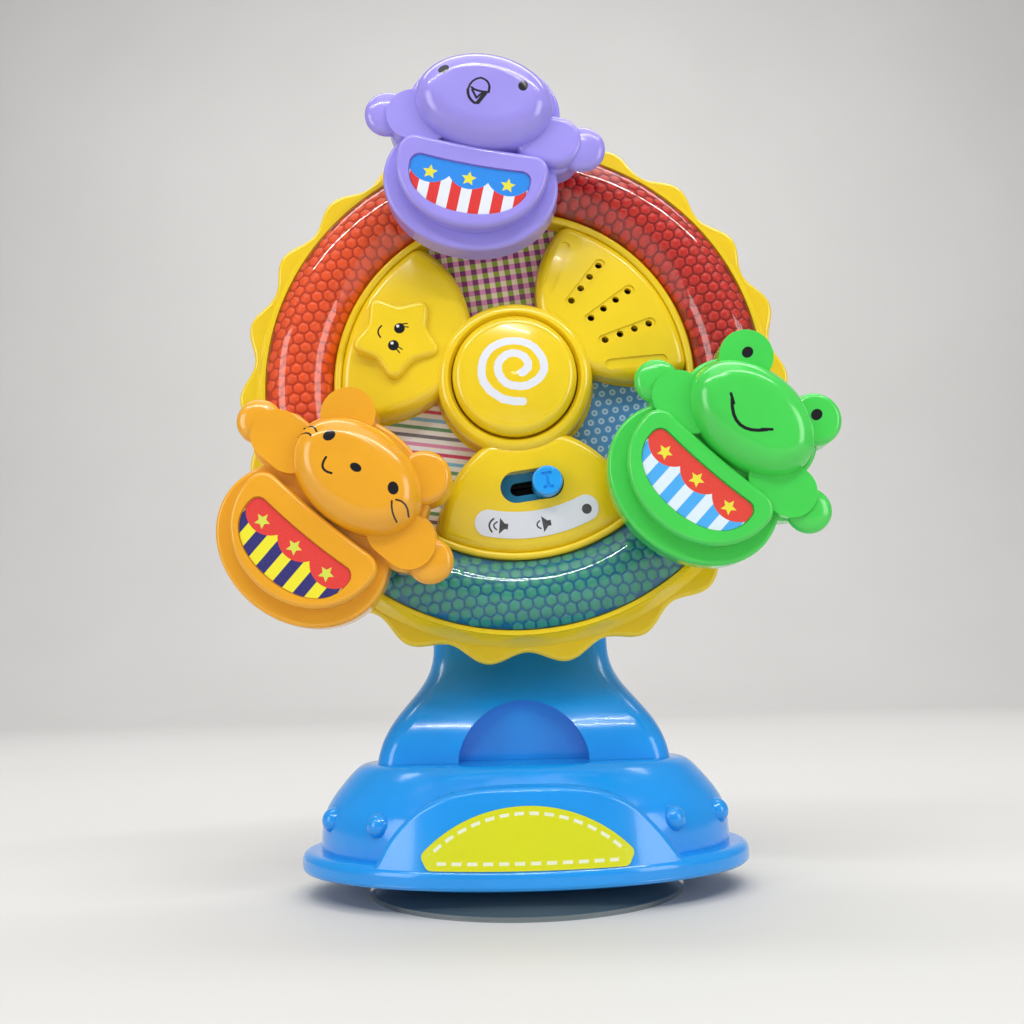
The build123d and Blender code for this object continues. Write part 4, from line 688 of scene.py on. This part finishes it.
SHEETS = [                # lens, bridge it starts from, painted crease shade colour, cell colour
    ("orange", "bird", (0.50, 0.030, 0.003), (0.90, 0.10, 0.006)),
    ("blue", "cat", (0.004, 0.13, 0.34), (0.04, 0.36, 0.20)),
    ("red", "frog", (0.20, 0.004, 0.002), (0.66, 0.022, 0.008)),
]
for lens, bridge, crease_shade, cell in SHEETS:
    honeycomb(f"honeycomb_{lens}", BRIDGES[bridge], crease_shade, cell)


# ------------------------------------------------------------------ ears and hands of the gondolas
FLANGE_W = 24.0           # front of a gondola's flange, in front of the rim
CUSHION_RIM = 2.1         # flat rim left round a cushion
CUSHION = [               # share of a cushion's radius, height over the flange
    (1.0, -0.4), (0.98, 0.5), (0.90, 1.15), (0.76, 1.7), (0.5, 2.1), (0.22, 2.3),
]
CUSHION_SIDES = 36
EARS = {                  # each: across, up, radius of the disc it stands on
    "bird": [(-29.0, 6.5, 9.0), (29.0, 6.5, 9.0)],
    "cat": [(-31.0, 5.5, 8.5), (31.0, 5.5, 8.5), (-12.5, 22.5, 7.6), (15.0, 22.0, 7.6)],
    "frog": [(-27.5, -0.5, 8.5), (27.5, -0.5, 8.5), (-13.5, 21.0, 7.6), (12.3, 20.0, 7.6)],
}


def cushions(name):
    """Domed middles of a gondola's ears and hands, inside their flat rims."""
    mesh = bmesh.new()
    turn = radians(TILT[name])
    for across, up, radius in EARS[name]:
        dome = radius - CUSHION_RIM
        rings = []
        for share, high in CUSHION:
            ring = []
            for step in range(CUSHION_SIDES):
                a = 2 * pi * step / CUSHION_SIDES
                u = across + dome * share * cos(a)
                v = up + dome * share * sin(a)
                ring.append(mesh.verts.new((
                    PIVOT[name].x + (u * cos(turn) + v * sin(turn)) * MM,
                    HUB.y - (FLANGE_W + high) * MM,
                    PIVOT[name].z + (v * cos(turn) - u * sin(turn)) * MM,
                )))
            rings.append(ring)
        for near, far in zip(rings, rings[1:]):
            for k in range(CUSHION_SIDES):
                n = (k + 1) % CUSHION_SIDES
                mesh.faces.new((near[k], near[n], far[n], far[k]))
        mesh.faces.new(rings[-1])
    piece = shell(mesh, f"{name}_cushions", CARRIED[f"{name}_front"])
    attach(piece, f"{name}_gondola")
    return piece


for name, finish in (("bird", "purple"), ("cat", "amber"), ("frog", "green")):
    cushions(name)


# ------------------------------------------------------------------ floor, light and camera
def floor():
    """Pale floor that bends up into a backdrop behind the toy."""
    mesh = bmesh.new()
    start, bend, half = 1.4, 0.8, 5.0
    profile = [(-4.0, 0.0), (start, 0.0)]
    for k in range(1, 11):
        a = radians(9 * k)
        profile.append((start + bend * sin(a), bend - bend * cos(a)))
    profile.append((start + bend, 4.0))
    rows = [[mesh.verts.new((x, y, z)) for x in (-half, half)] for y, z in profile]
    for near, far in zip(rows, rows[1:]):
        face = mesh.faces.new((near[0], near[1], far[1], far[0]))
        face.smooth = True
    data = bpy.data.meshes.new("floor")
    mesh.to_mesh(data)
    mesh.free()
    sweep = bpy.data.objects.new("floor", data)
    bpy.context.collection.objects.link(sweep)
    material, tree, shader = blank("floor")
    cloud = noise(tree, 3.0, 3.0)
    base = mixed(tree, cloud, (0.66, 0.65, 0.63), (0.72, 0.71, 0.69))
    tree.links.new(base, shader.inputs["Base Color"])
    shader.inputs["Roughness"].default_value = 0.6
    shader.inputs["Specular IOR Level"].default_value = 0.2
    data.materials.append(material)


def sky():
    """Even, soft light from all round."""
    world = bpy.data.worlds.new("studio")
    bpy.context.scene.world = world
    world.use_nodes = True
    background = world.node_tree.nodes["Background"]
    background.inputs["Color"].default_value = (0.95, 0.96, 1.0, 1)
    background.inputs["Strength"].default_value = 0.30


def lamp(name, place, aim, length, width, power):
    """Flat lamp; long narrow ones give the streaks that ceiling tubes leave in the plastic."""
    data = bpy.data.lights.new(name, "AREA")
    data.shape = "RECTANGLE"
    data.size = length
    data.size_y = width
    data.energy = power
    source = bpy.data.objects.new(name, data)
    source.location = place
    source.rotation_euler = (Vector(aim) - Vector(place)).to_track_quat("-Z", "Y").to_euler()
    bpy.context.collection.objects.link(source)


FOCAL_PX = 1000.0
PHOTO_PX = 1024.0
EYE = Vector((-0.0033, -0.3118, 0.0600))
EYE_YAW = 0.31
EYE_PITCH = 9.63
EYE_ROLL = -1.45


def camera():
    """Stands where the photograph was taken from: in front of the toy, low and tipped up."""
    data = bpy.data.cameras.new("camera")
    data.sensor_fit = "HORIZONTAL"
    data.sensor_width = 36.0
    data.lens = data.sensor_width * FOCAL_PX / PHOTO_PX
    data.clip_start = 0.01
    eye = bpy.data.objects.new("camera", data)
    yaw, pitch, roll = radians(EYE_YAW), radians(EYE_PITCH), radians(EYE_ROLL)
    ahead = Vector((sin(yaw) * cos(pitch), cos(yaw) * cos(pitch), sin(pitch)))
    right = Vector((cos(yaw), -sin(yaw), 0))
    up = right.cross(ahead)
    right_rolled = right * cos(roll) + up * sin(roll)
    up_rolled = up * cos(roll) - right * sin(roll)
    matrix = Matrix((right_rolled, up_rolled, -ahead)).transposed().to_4x4()
    matrix.translation = EYE
    eye.matrix_world = matrix
    bpy.context.collection.objects.link(eye)
    bpy.context.scene.camera = eye


floor()
sky()
lamp("tube_left", (-0.45, -1.10, 1.35), (0, 0, 0.13), 1.6, 0.03, 9.0)
lamp("tube_right", (0.55, -1.05, 1.60), (0, 0, 0.13), 1.6, 0.03, 10.0)
lamp("fill_left", (-1.20, -0.90, 0.45), (0, 0, 0.12), 0.5, 0.8, 5.0)
lamp("fill_right", (1.20, -0.90, 0.45), (0, 0, 0.12), 0.5, 0.8, 5.0)
lamp("soft_top", (0.0, -0.35, 1.60), (0, 0, 0.10), 1.2, 1.2, 5.5)
lamp("backdrop_wash", (0.0, 0.4, 1.9), (0, 1.9, 0.5), 2.5, 0.6, 26.0)
camera()
bpy.context.scene.view_settings.view_transform = "Standard"
